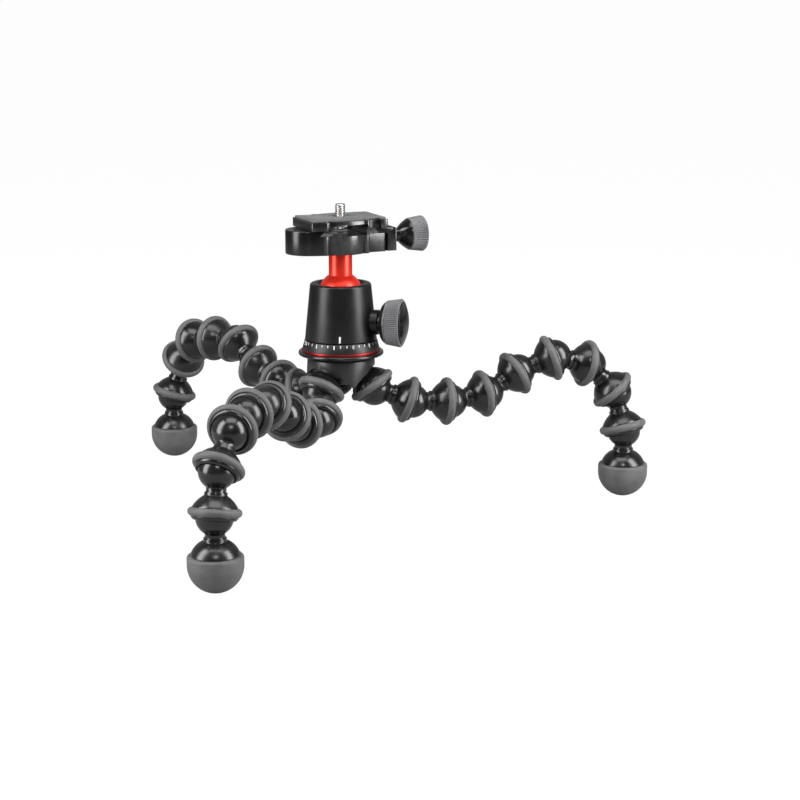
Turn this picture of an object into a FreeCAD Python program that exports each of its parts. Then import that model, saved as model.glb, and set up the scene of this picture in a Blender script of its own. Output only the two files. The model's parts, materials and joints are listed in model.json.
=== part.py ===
import FreeCAD, Part
import math
import os

import Sketcher

# Flexible leg tripod with a ball head and a quick release clamp.
# The model is built about the hub's upright axis with the floor at height zero, in millimetres,
# and is moved at the end so that the origin lies on the floor under the middle of the whole part.

ZERO_TEXT = "0"

# Driving dimensions, in millimetres and degrees
SIZES = {
    # Ball links of the legs
    "ball_radius": 10.5,
    "ball_play": 0.05,
    "liner_wall": 0.8,
    "seat_play": 0.02,
    "grip_past_centre": 1.9,
    "link_pitch": 24.6,
    "neck_radius": 5.5,
    "collar_radius": 6.3,
    "collar_start": 11.3,
    "collar_length": 1.8,
    "dome_radius": 12.6,
    "dome_curve": 18.0,
    "ring_offset": 2.5,
    "ring_width": 4.6,
    "ring_seat_radius": 12.2,
    "ring_shoulder": 13.1,
    "ring_round": 2.4,
    "lip_radius": 12.9,
    "lip_curve": 2.6,
    # Feet
    "foot_radius": 15.5,
    "foot_reach": 26.5,
    "foot_rim": 5.5,
    "foot_wall": 3.1,
    "foot_round": 1.3,
    "foot_dome_radius": 13.6,
    "foot_dome_curve": 12.0,
    # Hub
    "hub_top": 96.4,
    "socket_drop": 19.8,
    "socket_reach": 20.4,
    "socket_dip": 54.0,
    "first_leg_heading": -7.5,
    "socket_root": 15.0,
    "socket_root_radius": 6.0,
    "column_radius": 18.5,
    "column_drop": 15.4,
    "cover_radius": 20.5,
    "cover_flare": 0.8,
    "cover_wall": 1.6,
    "cover_drop": 19.0,
    "arch_radius": 20.0,
    "arch_drop": 25.1,
    "bolt_radius": 4.76,
    "bolt_head_radius": 6.8,
    "bolt_head_length": 5.0,
    "bolt_key_radius": 3.0,
    "bolt_key_depth": 3.0,
    "bolt_play": 0.2,
    "pad_radius": 18.0,
    "pad_thickness": 0.9,
    # Pan base
    "flange_radius": 25.9,
    "flange_thickness": 2.6,
    "flange_round": 1.35,
    "accent_radius": 23.7,
    "accent_height": 1.3,
    "scale_radius": 23.5,
    "scale_height": 5.6,
    "scale_taper": 0.5,
    "boss_radius": 21.6,
    "washer_thickness": 0.6,
    "washer_radius": 19.0,
    "spigot_radius": 9.0,
    "retainer_radius": 12.5,
    "retainer_height": 1.6,
    "pan_play": 0.05,
    "pan_gap": 0.2,
    # Housing of the ball
    "housing_base_radius": 21.8,
    "housing_top_radius": 18.5,
    "housing_height": 34.3,
    "housing_chamfer": 1.3,
    "housing_floor": 2.2,
    "chamber_radius": 16.0,
    "mouth_radius": 15.0,
    "mouth_lip_radius": 13.3,
    "mouth_depth": 1.6,
    "head_ball_radius": 13.5,
    "head_ball_play": 0.05,
    "head_ball_depth": 6.7,
    "seat_height": 4.6,
    "cup_rim_depth": 8.0,
    "cup_floor": 1.8,
    "stem_radius": 7.1,
    "stem_length": 25.9,
    "stem_bevel": 0.5,
    "ball_flat_depth": 11.8,
    # Lock screw, wedge and knob
    "lock_heading": -12.0,
    "lock_screw_radius": 2.95,
    "lock_screw_drop": 3.0,
    "lock_boss_radius": 7.5,
    "lock_boss_reach": 23.6,
    "wedge_near": 7.0,
    "wedge_far": -10.0,
    "wedge_half_width": 5.0,
    "wedge_slope": 15.0,
    "wedge_gap": 0.3,
    "lock_travel": 0.5,
    "lock_knob_gap": 0.2,
    "lock_neck_radius": 6.6,
    "lock_neck_length": 0.8,
    "lock_cone_length": 3.4,
    "lock_cone_radius": 12.9,
    "lock_core_radius": 12.3,
    "lock_grip_near": 13.3,
    "lock_grip_radius": 14.65,
    "lock_grip_length": 9.6,
    "lock_grip_round": 0.8,
    "lock_cap_radius": 12.9,
    "lock_cap_rise": 3.0,
    "lock_cap_edge": 0.7,
    # Clamp
    "clamp_heading": 24.0,
    "clamp_lobe_radius": 14.0,
    "clamp_lobe_reach": 20.4,
    "clamp_centre_radius": 19.3,
    "clamp_half_width": 14.5,
    "clamp_end": 24.6,
    "clamp_height": 14.4,
    "slot_floor": 11.3,
    "dovetail_half_width": 19.0,
    "dovetail_neck": 16.4,
    "dovetail_rise": 2.6,
    "dovetail_play": 0.06,
    "clamp_bolt_radius": 3.0,
    "clamp_bolt_head_radius": 5.0,
    "clamp_bolt_head_length": 4.0,
    "clamp_bolt_reach": 11.0,
    "clamp_bolt_key_radius": 2.3,
    "clamp_bolt_key_depth": 2.4,
    "jaw_gap": 0.3,
    "jaw_end": 33.6,
    "jaw_foot_lift": 0.5,
    "jaw_screw_height": 7.9,
    "jaw_screw_radius": 2.45,
    "screw_bore_gap": 0.4,
    "screw_tip_gap": 0.8,
    "guide_radius": 1.5,
    "guide_spread": 9.0,
    "guide_start": 12.0,
    "guide_height": 5.5,
    "clamp_knob_gap": 0.3,
    "clamp_neck_radius": 4.3,
    "clamp_neck_length": 4.0,
    "clamp_cone_length": 6.4,
    "clamp_cone_radius": 9.4,
    "clamp_core_radius": 9.0,
    "clamp_grip_near": 9.7,
    "clamp_grip_radius": 10.9,
    "clamp_grip_length": 9.8,
    "clamp_grip_round": 0.7,
    # Quick release plate and camera screw
    "plate_length": 49.0,
    "plate_width": 35.0,
    "plate_thickness": 5.3,
    "plate_corner": 2.5,
    "plate_lift": 0.2,
    "channel_half_width": 11.0,
    "plate_skin": 2.2,
    "plate_pad_border": 1.2,
    "plate_pad_thickness": 1.4,
    "screw_radius": 3.175,
    "screw_rise": 7.3,
    "screw_chamfer": 0.6,
    "screw_relief_radius": 2.6,
    "screw_hole_radius": 2.9,
    "pad_hole_radius": 3.5,
    "screw_head_radius": 7.0,
    "screw_head_height": 2.2,
    "screw_head_gap": 0.2,
    "bail_radius": 7.0,
    "bail_wire": 1.0,
    "bail_play": 0.1,
    "lug_half_length": 2.5,
    "lug_half_width": 2.0,
}

# Heading and climb of each link, in whole degrees, from the hub to the last link above the foot.
# A heading is measured from +X towards +Y, and a climb from level upwards.
LEG_POSES = {
    "right": ((6, -20), (16, -4), (21, 8), (23, 29), (10, 20), (19, -15), (2, -48), (327, -74)),
    "rear": ((153, -22), (124, 6), (130, 17), (129, 29), (134, -3), (129, -13), (120, -43), (186, -75)),
    "front": ((269, -29), (244, 7), (254, 24), (244, 26), (249, -1), (253, -9), (248, -47), (255, -77)),
}
LEG_SPACING = 120.0
FOOT_CLIMB = -90.0
FULL_TURN = 360.0
# How much flatter than a quarter circle a rounded edge is
EDGE_FLATNESS = 1.05
# How many times its own size a cutting tool is carried past the solid
CUT_BEYOND = 2
CLIMB_SEARCH = 40.0
SEARCH_STEPS = 60


class Dim:
    """A size that carries its value together with the sheet expression that gives it."""

    def __init__(self, value, text):
        self.value = value
        self.text = text

    def joined(self, other, sign, value):
        return Dim(value, f"({self.text} {sign} {as_dim(other).text})")

    def __add__(self, other):
        return self.joined(other, "+", self.value + as_dim(other).value)

    def __sub__(self, other):
        return self.joined(other, "-", self.value - as_dim(other).value)

    def __mul__(self, other):
        return self.joined(other, "*", self.value * as_dim(other).value)

    def __truediv__(self, other):
        return self.joined(other, "/", self.value / as_dim(other).value)

    def __neg__(self):
        return Dim(-self.value, f"(0 - {self.text})")


def as_dim(number):
    """Turn a plain number into a Dim, and leave a Dim as it is."""
    if isinstance(number, Dim):
        return number
    if number == 0:
        return Dim(0.0, ZERO_TEXT)
    return Dim(float(number), repr(float(number)))


def leg_of(longest, other):
    """The other short side of a right triangle."""
    value = math.sqrt(longest.value ** 2 - other.value ** 2)
    return Dim(value, f"sqrt(pow({longest.text}; 2) - pow({other.text}; 2))")


def slope_of(angle):
    """Rise per run of a slope given in degrees."""
    return Dim(math.tan(math.radians(angle.value)), f"tan({angle.text})")


class Sheet:
    """The sizes of the spreadsheet, each read as a Dim under its own name."""

    def __init__(self, document, sizes):
        self.cells = document.addObject("Spreadsheet::Sheet", "Sizes")
        self.values = dict(sizes)
        for row, (name, value) in enumerate(sizes.items(), start=1):
            self.cells.set(f"A{row}", name)
            self.cells.set(f"B{row}", str(value))
            self.cells.setAlias(f"B{row}", name)
        document.recompute()

    def __getattr__(self, name):
        values = self.__dict__.get("values", {})
        if name not in values:
            raise AttributeError(name)
        return Dim(float(values[name]), f"Sizes.{name}")


doc = FreeCAD.newDocument("FlexibleLegTripod")
S = Sheet(doc, SIZES)
NIL = as_dim(0)
NODES = {}


def origin_plane(body, role):
    """The origin plane of a body with the given role, such as XZ_Plane."""
    return next(plane for plane in body.Origin.OriginFeatures if plane.Role == role)


def new_sketch(body, role):
    """An empty sketch on one of the body's own origin planes."""
    sketch = body.newObject("Sketcher::SketchObject", f"{body.Name}_sketch")
    sketch.AttachmentSupport = (origin_plane(body, role), "")
    sketch.MapMode = "FlatFace"
    return sketch


def bind(sketch, constraint, dim):
    """Add a sized constraint and tie it to the sheet."""
    index = sketch.addConstraint(constraint)
    if "Sizes." in dim.text:
        sketch.setExpression(f"Constraints[{index}]", dim.text)


def pin_point(sketch, edge, end, point):
    """Hold one end of an edge at a point given by two sizes."""
    across, along = point
    for axis, size, kind in ((-2, across, "DistanceX"), (-1, along, "DistanceY")):
        if size.text == ZERO_TEXT:
            sketch.addConstraint(Sketcher.Constraint("PointOnObject", edge, end, axis))
        else:
            bind(sketch, Sketcher.Constraint(kind, -1, 1, edge, end, size.value), size)


def arc_between(start, stop, radius):
    """The minor arc between two points, with its centre left of the way when radius is positive."""
    span = stop - start
    rise = math.sqrt(max(radius ** 2 - (span.Length / 2) ** 2, 0.0))
    left = FreeCAD.Vector(-span.y, span.x, 0).normalize()
    centre = (start + stop) * 0.5 + left * math.copysign(rise, radius)
    first, last = (start, stop) if radius > 0 else (stop, start)
    angles = [math.atan2(point.y - centre.y, point.x - centre.x) for point in (first, last)]
    circle = Part.Circle(centre, FreeCAD.Vector(0, 0, 1), abs(radius))
    return Part.ArcOfCircle(circle, angles[0], angles[1])


def draw_outline(sketch, path):
    """Draw a closed outline. Each entry is (x, y) or (x, y, radius of the arc that leads to it)."""
    points = [(as_dim(entry[0]), as_dim(entry[1])) for entry in path]
    places = [FreeCAD.Vector(x.value, y.value, 0) for x, y in points]
    ends = []
    for index, entry in enumerate(path):
        start, stop = places[index - 1], places[index]
        if len(entry) == 2:
            edge = sketch.addGeometry(Part.LineSegment(start, stop), False)
            ends.append((edge, 1, 2))
            continue
        radius = as_dim(entry[2])
        edge = sketch.addGeometry(arc_between(start, stop, radius.value), False)
        ends.append((edge, 1, 2) if radius.value > 0 else (edge, 2, 1))
    for index, (edge, _, end) in enumerate(ends):
        following = ends[(index + 1) % len(ends)]
        sketch.addConstraint(Sketcher.Constraint("Coincident", edge, end, following[0], following[1]))
        pin_point(sketch, edge, end, points[index])
    for index, entry in enumerate(path):
        if len(entry) == 3:
            radius = as_dim(entry[2])
            size = radius if radius.value > 0 else -radius
            bind(sketch, Sketcher.Constraint("Radius", ends[index][0], size.value), size)


def draw_circle(sketch, x, y, radius):
    """Draw a full circle held at a point given by two sizes."""
    x, y, radius = as_dim(x), as_dim(y), as_dim(radius)
    centre = FreeCAD.Vector(x.value, y.value, 0)
    edge = sketch.addGeometry(Part.Circle(centre, FreeCAD.Vector(0, 0, 1), radius.value), False)
    pin_point(sketch, edge, 3, (x, y))
    bind(sketch, Sketcher.Constraint("Radius", edge, radius.value), radius)


def new_body(name):
    """An empty body whose label is the given name."""
    body = doc.addObject("PartDesign::Body", name)
    body.Label = name
    return body


def turn(body, kind, path):
    """Revolve a half section, drawn as (radius, height) points, about the upright axis."""
    sketch = new_sketch(body, "XZ_Plane")
    draw_outline(sketch, path)
    feature = body.newObject(f"PartDesign::{kind}", f"{body.Name}_{kind}")
    feature.Profile = sketch
    feature.ReferenceAxis = (sketch, ["V_Axis"])
    feature.Angle = FULL_TURN
    return feature


def turned(name, path):
    """A body made of one revolved half section."""
    body = new_body(name)
    turn(body, "Revolution", path)
    return body


def extrude(body, kind, role, draw, length, both_ways=False, reverse=False):
    """Pad or pocket a sketch that the draw function fills, from one of the body's origin planes."""
    sketch = new_sketch(body, role)
    draw(sketch)
    feature = body.newObject(f"PartDesign::{kind}", f"{body.Name}_{kind}")
    feature.Profile = sketch
    feature.Midplane = both_ways
    feature.Reversed = reverse
    feature.Length = length.value
    feature.setExpression("Length", length.text)
    return feature


def primitive(kind, name, sizes, placement=None):
    """A primitive solid whose sizes are tied to the sheet."""
    solid = doc.addObject(f"Part::{kind}", name)
    for key, size in sizes.items():
        setattr(solid, key, size.value)
        if "Sizes." in size.text:
            solid.setExpression(key, size.text)
    if placement is not None:
        solid.Placement = placement
    return solid


def group(name, members):
    """Several objects held as one."""
    compound = doc.addObject("Part::Compound", name)
    compound.Links = members
    compound.Label = name
    return compound


def placed_copy(name, source, placement):
    """The shape of one object, repeated at another place."""
    copy = group(name, [source])
    copy.Placement = placement
    return copy


def cut(name, base, tools):
    """One object less several others."""
    tool = tools[0]
    if len(tools) > 1:
        tool = doc.addObject("Part::MultiFuse", f"{name}_tools")
        tool.Shapes = tools
    result = doc.addObject("Part::Cut", name)
    result.Base = base
    result.Tool = tool
    result.Label = name
    return result


def fuse(name, members):
    """Several overlapping objects joined into one solid."""
    result = doc.addObject("Part::MultiFuse", name)
    result.Shapes = members
    result.Label = name
    return result


def node(name, item, placement=None):
    """Register one object as a piece of the tripod, at its place about the hub axis."""
    if placement is None:
        placement = FreeCAD.Placement()
    NODES[name] = (item, placement)


def heading_vector(heading, climb):
    """The unit vector with this heading and climb, in degrees."""
    flat = math.cos(math.radians(climb))
    return FreeCAD.Vector(
        flat * math.cos(math.radians(heading)),
        flat * math.sin(math.radians(heading)),
        math.sin(math.radians(climb)),
    )


def along(position, direction):
    """The placement that turns +Z to a direction."""
    return FreeCAD.Placement(position, FreeCAD.Rotation(FreeCAD.Vector(0, 0, 1), direction))


def about_axis(heading, height):
    """A placement on the hub axis, turned by a heading, at a height."""
    return FreeCAD.Placement(FreeCAD.Vector(0, 0, height), FreeCAD.Rotation(heading, 0, 0))


# Places that several pieces share

BALL_SEAT_RADIUS = S.ball_radius + S.ball_play
LINER_OUTER_RADIUS = BALL_SEAT_RADIUS + S.liner_wall
CAVITY_RADIUS = LINER_OUTER_RADIUS + S.seat_play
BALL_TO_NECK = leg_of(S.ball_radius, S.neck_radius)
RING_BACK = -(S.ring_offset + S.ring_width / 2)
RING_FRONT = RING_BACK + S.ring_width
COLLAR_END = S.collar_start + S.collar_length

FLANGE_BOTTOM = S.hub_top + S.pad_thickness
FLANGE_TOP = FLANGE_BOTTOM + S.flange_thickness
ACCENT_TOP = FLANGE_TOP + S.accent_height
SCALE_TOP = ACCENT_TOP + S.scale_height
HOUSING_BOTTOM = SCALE_TOP + S.pan_gap
HOUSING_TOP = HOUSING_BOTTOM + S.housing_height
CHAMBER_FLOOR = HOUSING_BOTTOM + S.housing_floor
SEAT_TOP = HOUSING_TOP - S.mouth_depth
HEAD_BALL_HEIGHT = HOUSING_TOP - S.head_ball_depth
HEAD_SEAT_RADIUS = S.head_ball_radius + S.head_ball_play
CUP_POINT = HEAD_BALL_HEIGHT - HEAD_SEAT_RADIUS - S.cup_floor
WEDGE_RISE = slope_of(S.wedge_slope)
WEDGE_TOP = CUP_POINT - S.wedge_gap + WEDGE_RISE * S.wedge_near
LOCK_AXIS = WEDGE_TOP - S.lock_screw_drop
CLAMP_BOTTOM = HEAD_BALL_HEIGHT + S.stem_length
SOCKET_HEIGHT = S.hub_top - S.socket_drop

JAW_TOP = S.clamp_height
PLATE_BOTTOM = JAW_TOP + S.plate_lift
DOVETAIL_BOTTOM = S.slot_floor + S.plate_lift
PLATE_TOP = PLATE_BOTTOM + S.plate_thickness
PAD_TOP = PLATE_TOP + S.plate_pad_thickness
CHANNEL_TOP = PLATE_TOP - S.plate_skin


def socket_outline(centre):
    """The ring groove, lip and ball cavity of a socket whose ball centre lies at this height."""
    back = centre + RING_BACK
    front = centre + RING_FRONT
    lip_end = centre + S.grip_past_centre
    mouth = leg_of(CAVITY_RADIUS, S.grip_past_centre)
    return [
        (S.dome_radius, back, S.dome_curve),
        (S.ring_seat_radius, back),
        (S.ring_seat_radius, front),
        (S.lip_radius, front),
        (mouth, lip_end, S.lip_curve),
    ]


def ball_outline():
    """A ball, its neck and the small collar behind the neck, from the ball's pole outwards."""
    return [
        (S.neck_radius, BALL_TO_NECK, S.ball_radius),
        (S.neck_radius, S.collar_start),
        (S.collar_radius, S.collar_start),
        (S.collar_radius, COLLAR_END),
    ]


def liner_path(centre):
    """The half section of the friction liner between a socket and its ball."""
    edge = centre + S.grip_past_centre
    return [
        (NIL, centre - LINER_OUTER_RADIUS),
        (leg_of(LINER_OUTER_RADIUS, S.grip_past_centre), edge, LINER_OUTER_RADIUS),
        (leg_of(BALL_SEAT_RADIUS, S.grip_past_centre), edge),
        (NIL, centre - BALL_SEAT_RADIUS, -BALL_SEAT_RADIUS),
    ]


def ring_path(centre):
    """The half section of the rubber ring that grips round a socket."""
    inner = S.ring_seat_radius + S.seat_play
    back = centre + RING_BACK + S.seat_play
    front = centre + RING_FRONT - S.seat_play
    return [
        (inner, back),
        (S.ring_shoulder, back),
        (S.ring_shoulder, front, S.ring_round),
        (inner, front),
    ]


def build_link_parts():
    """The shell, liner and ring of one leg link, with the link's own ball at the origin."""
    shell = turned(
        "link_shell",
        [(NIL, -S.ball_radius)]
        + ball_outline()
        + socket_outline(S.link_pitch)
        + [(NIL, S.link_pitch - CAVITY_RADIUS, -CAVITY_RADIUS)],
    )
    liner = turned("link_liner", liner_path(S.link_pitch))
    ring = turned("link_ring", ring_path(S.link_pitch))
    return [shell, liner, ring]


def build_foot_parts():
    """The foot link and the rubber cap over its end, with the link's own ball at the origin."""
    rim = S.foot_reach - S.foot_rim
    core = S.foot_radius - S.foot_wall
    cap_inner = core + S.seat_play
    link = turned(
        "foot_link",
        [(NIL, -S.ball_radius)]
        + ball_outline()
        + [
            (S.foot_dome_radius, rim, S.foot_dome_curve),
            (core, rim),
            (core, S.foot_reach),
            (NIL, S.foot_reach + core, core),
        ],
    )
    cap = turned(
        "foot_cap",
        [
            (cap_inner, rim + S.seat_play),
            (S.foot_radius - S.foot_round, rim + S.seat_play),
            (S.foot_radius, rim + S.foot_round, S.foot_round * EDGE_FLATNESS),
            (S.foot_radius, S.foot_reach),
            (NIL, S.foot_reach + S.foot_radius, S.foot_radius),
            (NIL, S.foot_reach + cap_inner),
            (cap_inner, S.foot_reach, -cap_inner),
        ],
    )
    return [link, cap]


def socket_placement(leg_index):
    """Where a hub socket holds its ball, with +Z turned along the socket's axis."""
    heading = S.first_leg_heading.value + leg_index * LEG_SPACING
    reach = heading_vector(heading, 0) * S.socket_reach.value
    centre = reach + FreeCAD.Vector(0, 0, SOCKET_HEIGHT.value)
    return along(centre, heading_vector(heading, -S.socket_dip.value))


def build_hub():
    """The moulded core with its three sockets, the skirted cover, the liners and the rings."""
    sockets = [socket_placement(index) for index in range(len(LEG_POSES))]
    socket = turned(
        "hub_socket",
        [
            (NIL, -S.socket_root),
            (S.socket_root_radius, -S.socket_root),
            (S.collar_radius, COLLAR_END - S.link_pitch),
        ]
        + socket_outline(NIL)
        + [(NIL, -CAVITY_RADIUS, -CAVITY_RADIUS)],
    )
    column_top = S.hub_top - S.cover_wall
    column_bottom = S.hub_top - S.column_drop
    bolt_hole = S.bolt_radius + S.bolt_play
    head_hole = S.bolt_head_radius + S.bolt_play
    head_seat = column_bottom + S.bolt_head_length + S.bolt_play
    column_length = S.column_drop - S.cover_wall
    column = primitive("Cylinder", "hub_column", {"Radius": S.column_radius, "Height": column_length})
    column.Placement.Base = FreeCAD.Vector(0, 0, column_bottom.value)
    bolt_bore = turned(
        "hub_bolt_bore",
        [
            (NIL, column_bottom - S.column_drop),
            (head_hole, column_bottom - S.column_drop),
            (head_hole, head_seat),
            (bolt_hole, head_seat),
            (bolt_hole, S.hub_top),
            (NIL, S.hub_top),
        ],
    )
    arms = [placed_copy(f"hub_arm_{i}", socket, place) for i, place in enumerate(sockets)]
    core = fuse("hub_blank", [column] + arms)
    cavity = primitive("Sphere", "hub_cavity", {"Radius": CAVITY_RADIUS})
    cavities = [placed_copy(f"hub_cavity_{i}", cavity, place) for i, place in enumerate(sockets)]
    node("hub_core", cut("hub_core", core, cavities + [bolt_bore]))

    inner = S.cover_radius - S.cover_wall
    flared = S.cover_radius + S.cover_flare
    skirt = S.hub_top - S.cover_drop
    bell = turned(
        "hub_bell",
        [
            (bolt_hole, S.hub_top),
            (bolt_hole, column_top),
            (inner, column_top),
            (inner + S.cover_flare, skirt),
            (flared, skirt),
            (S.cover_radius, S.hub_top),
        ],
    )
    arches = []
    arch_height = S.hub_top.value - S.arch_drop.value
    for index in range(len(sockets)):
        heading = S.first_leg_heading.value + index * LEG_SPACING
        place = along(FreeCAD.Vector(0, 0, arch_height), heading_vector(heading, 0))
        sizes = {"Radius": S.arch_radius, "Height": flared * 2}
        arches.append(primitive("Cylinder", f"hub_arch_{index}", sizes, place))
    node("hub_cover", cut("hub_cover", bell, arches))

    liner = turned("hub_liner", liner_path(NIL))
    ring = turned("hub_ring", ring_path(NIL))
    liners = [placed_copy(f"hub_liner_{i}", liner, place) for i, place in enumerate(sockets)]
    rings = [placed_copy(f"hub_ring_{i}", ring, place) for i, place in enumerate(sockets)]
    node("hub_liners", group("hub_liners", liners))
    node("hub_rings", group("hub_rings", rings))

    node("hub_pad", turned("hub_pad", [
        (bolt_hole, S.hub_top),
        (S.pad_radius, S.hub_top),
        (S.pad_radius, FLANGE_BOTTOM),
        (bolt_hole, FLANGE_BOTTOM),
    ]))
    bolt_bottom = column_bottom + S.bolt_play
    node("head_bolt", turned("head_bolt", [
        (S.bolt_key_radius, bolt_bottom),
        (S.bolt_head_radius, bolt_bottom),
        (S.bolt_head_radius, head_seat),
        (S.bolt_radius, head_seat),
        (S.bolt_radius, ACCENT_TOP),
        (NIL, ACCENT_TOP),
        (NIL, bolt_bottom + S.bolt_key_depth),
        (S.bolt_key_radius, bolt_bottom + S.bolt_key_depth),
    ]))


def build_pan_base():
    """The fixed base that the head turns on, with its accent ring, scale ring and retainer."""
    boss_top = HOUSING_BOTTOM - S.washer_thickness
    spigot_top = CHAMBER_FLOOR + S.pan_gap + S.retainer_height
    thread = S.bolt_radius + S.seat_play
    node("pan_base", turned("pan_base", [
        (thread, FLANGE_BOTTOM),
        (S.flange_radius - S.flange_round, FLANGE_BOTTOM),
        (S.flange_radius - S.flange_round, FLANGE_TOP, S.flange_round),
        (S.boss_radius, FLANGE_TOP),
        (S.boss_radius, boss_top),
        (S.spigot_radius, boss_top),
        (S.spigot_radius, spigot_top),
        (thread, spigot_top),
    ]))
    ring_inner = S.boss_radius + S.seat_play
    node("accent_ring", turned("accent_ring", [
        (ring_inner, FLANGE_TOP),
        (S.accent_radius, FLANGE_TOP),
        (S.accent_radius, ACCENT_TOP),
        (ring_inner, ACCENT_TOP),
    ]))
    node("scale_ring", turned("scale_ring", [
        (ring_inner, ACCENT_TOP),
        (S.scale_radius, ACCENT_TOP),
        (S.scale_radius - S.scale_taper, SCALE_TOP),
        (ring_inner, SCALE_TOP),
    ]))
    washer_inner = S.spigot_radius + S.pan_gap
    node("pan_washer", turned("pan_washer", [
        (washer_inner, boss_top),
        (S.washer_radius, boss_top),
        (S.washer_radius, HOUSING_BOTTOM),
        (washer_inner, HOUSING_BOTTOM),
    ]))
    retainer_inner = S.spigot_radius + S.seat_play
    retainer_bottom = CHAMBER_FLOOR + S.pan_gap
    node("pan_retainer", turned("pan_retainer", [
        (retainer_inner, retainer_bottom),
        (S.retainer_radius, retainer_bottom),
        (S.retainer_radius, spigot_top),
        (retainer_inner, spigot_top),
    ]))


def build_housing():
    """The housing with its lock boss, the upper ball seat and the lower ball cup."""
    lock_turn = about_axis(S.lock_heading.value, 0)
    body = new_body("head_housing")
    turn(body, "Revolution", [
        (NIL, HOUSING_BOTTOM),
        (S.housing_base_radius, HOUSING_BOTTOM),
        (S.housing_top_radius, HOUSING_TOP - S.housing_chamfer),
        (S.housing_top_radius - S.housing_chamfer, HOUSING_TOP),
        (NIL, HOUSING_TOP),
    ])
    extrude(body, "Pad", "YZ_Plane",
            lambda sketch: draw_circle(sketch, NIL, LOCK_AXIS, S.lock_boss_radius), S.lock_boss_reach)
    spigot_hole = S.spigot_radius + S.pan_play
    turn(body, "Groove", [
        (NIL, HOUSING_BOTTOM - S.housing_floor),
        (spigot_hole, HOUSING_BOTTOM - S.housing_floor),
        (spigot_hole, CHAMBER_FLOOR),
        (S.chamber_radius, CHAMBER_FLOOR),
        (S.chamber_radius, SEAT_TOP),
        (S.mouth_lip_radius, SEAT_TOP),
        (S.mouth_radius, HOUSING_TOP),
        (S.mouth_radius, HOUSING_TOP + S.mouth_depth),
        (NIL, HOUSING_TOP + S.mouth_depth),
    ])
    bore = S.lock_screw_radius + S.pan_play
    extrude(body, "Pocket", "YZ_Plane", lambda sketch: draw_circle(sketch, NIL, LOCK_AXIS, bore),
            S.lock_boss_reach * CUT_BEYOND, reverse=True)
    node("head_housing", body, lock_turn)

    seat_radius = HEAD_SEAT_RADIUS
    seat_outer = S.chamber_radius - S.seat_play
    seat_top = SEAT_TOP - S.seat_play
    seat_bottom = SEAT_TOP - S.seat_height
    node("upper_seat", turned("upper_seat", [
        (seat_outer, seat_bottom),
        (seat_outer, seat_top),
        (leg_of(seat_radius, seat_top - HEAD_BALL_HEIGHT), seat_top),
        (leg_of(seat_radius, seat_bottom - HEAD_BALL_HEIGHT), seat_bottom, -seat_radius),
    ]))

    wedge_floor = CHAMBER_FLOOR + S.pan_gap + S.retainer_height + S.pan_gap
    wedge_low = WEDGE_TOP - WEDGE_RISE * (S.wedge_near - S.wedge_far)
    cup_outer = S.chamber_radius - S.pan_play
    rim = HEAD_BALL_HEIGHT - S.cup_rim_depth
    node("ball_cup", turned("ball_cup", [
        (NIL, CUP_POINT),
        (cup_outer, CUP_POINT + WEDGE_RISE * cup_outer),
        (cup_outer, rim),
        (leg_of(seat_radius, S.cup_rim_depth), rim),
        (NIL, HEAD_BALL_HEIGHT - seat_radius, -seat_radius),
    ]))

    wedge = new_body("lock_wedge")
    extrude(wedge, "Pad", "XZ_Plane", lambda sketch: draw_outline(sketch, [
        (S.wedge_far, wedge_floor),
        (S.wedge_near, wedge_floor),
        (S.wedge_near, WEDGE_TOP),
        (S.wedge_far, wedge_low),
    ]), S.wedge_half_width * 2, both_ways=True)
    node("lock_wedge", wedge, lock_turn)


def knob_parts(prefix, gap, face, start, shaft, neck, cone, core, grip, grip_length, grip_round):
    """A screw shaft, a flared knob on it and a tapered rubber grip, along +Z from the shaft's tip."""
    neck_radius, neck_length = neck
    cone_radius, cone_length = cone
    grip_near, grip_far = grip
    knob_start = face + gap
    cone_start = knob_start + neck_length
    grip_start = cone_start + cone_length
    grip_end = grip_start + grip_length
    bore = shaft + S.seat_play
    shaft_end = grip_start + grip_length / 2
    screw = turned(f"{prefix}_screw", [
        (NIL, start),
        (shaft, start),
        (shaft, shaft_end),
        (NIL, shaft_end),
    ])
    hub = turned(f"{prefix}_knob", [
        (bore, knob_start),
        (neck_radius, knob_start),
        (neck_radius, cone_start),
        (cone_radius, grip_start),
        (core, grip_start),
        (core, grip_end),
        (NIL, grip_end),
        (NIL, shaft_end + S.seat_play),
        (bore, shaft_end + S.seat_play),
    ])
    inner = core + S.seat_play
    rubber = turned(f"{prefix}_grip", [
        (inner, grip_start + S.seat_play),
        (grip_near, grip_start + S.seat_play),
        (grip_far, grip_end - grip_round),
        (grip_far - grip_round, grip_end, grip_round * EDGE_FLATNESS),
        (inner, grip_end),
    ])
    return screw, hub, rubber, grip_end


def build_lock_knob():
    """The pan and ball lock: its screw, knob, rubber grip and end cap."""
    screw, knob, grip, end = knob_parts(
        "lock", S.lock_knob_gap + S.lock_travel, S.lock_boss_reach, S.wedge_near + S.wedge_gap,
        S.lock_screw_radius, (S.lock_neck_radius, S.lock_neck_length),
        (S.lock_cone_radius, S.lock_cone_length), S.lock_core_radius,
        (S.lock_grip_near, S.lock_grip_radius), S.lock_grip_length, S.lock_grip_round)
    edge = end + S.lock_cap_edge
    dome = (S.lock_cap_radius * S.lock_cap_radius / S.lock_cap_rise + S.lock_cap_rise) / 2
    cap = turned("lock_cap", [
        (NIL, end),
        (S.lock_cap_radius, end),
        (S.lock_cap_radius, edge),
        (NIL, edge + S.lock_cap_rise, dome),
    ])
    place = along(FreeCAD.Vector(0, 0, LOCK_AXIS.value), heading_vector(S.lock_heading.value, 0))
    for name, body in (("lock_screw", screw), ("lock_knob", knob), ("lock_grip", grip), ("lock_cap", cap)):
        node(name, body, place)


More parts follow.
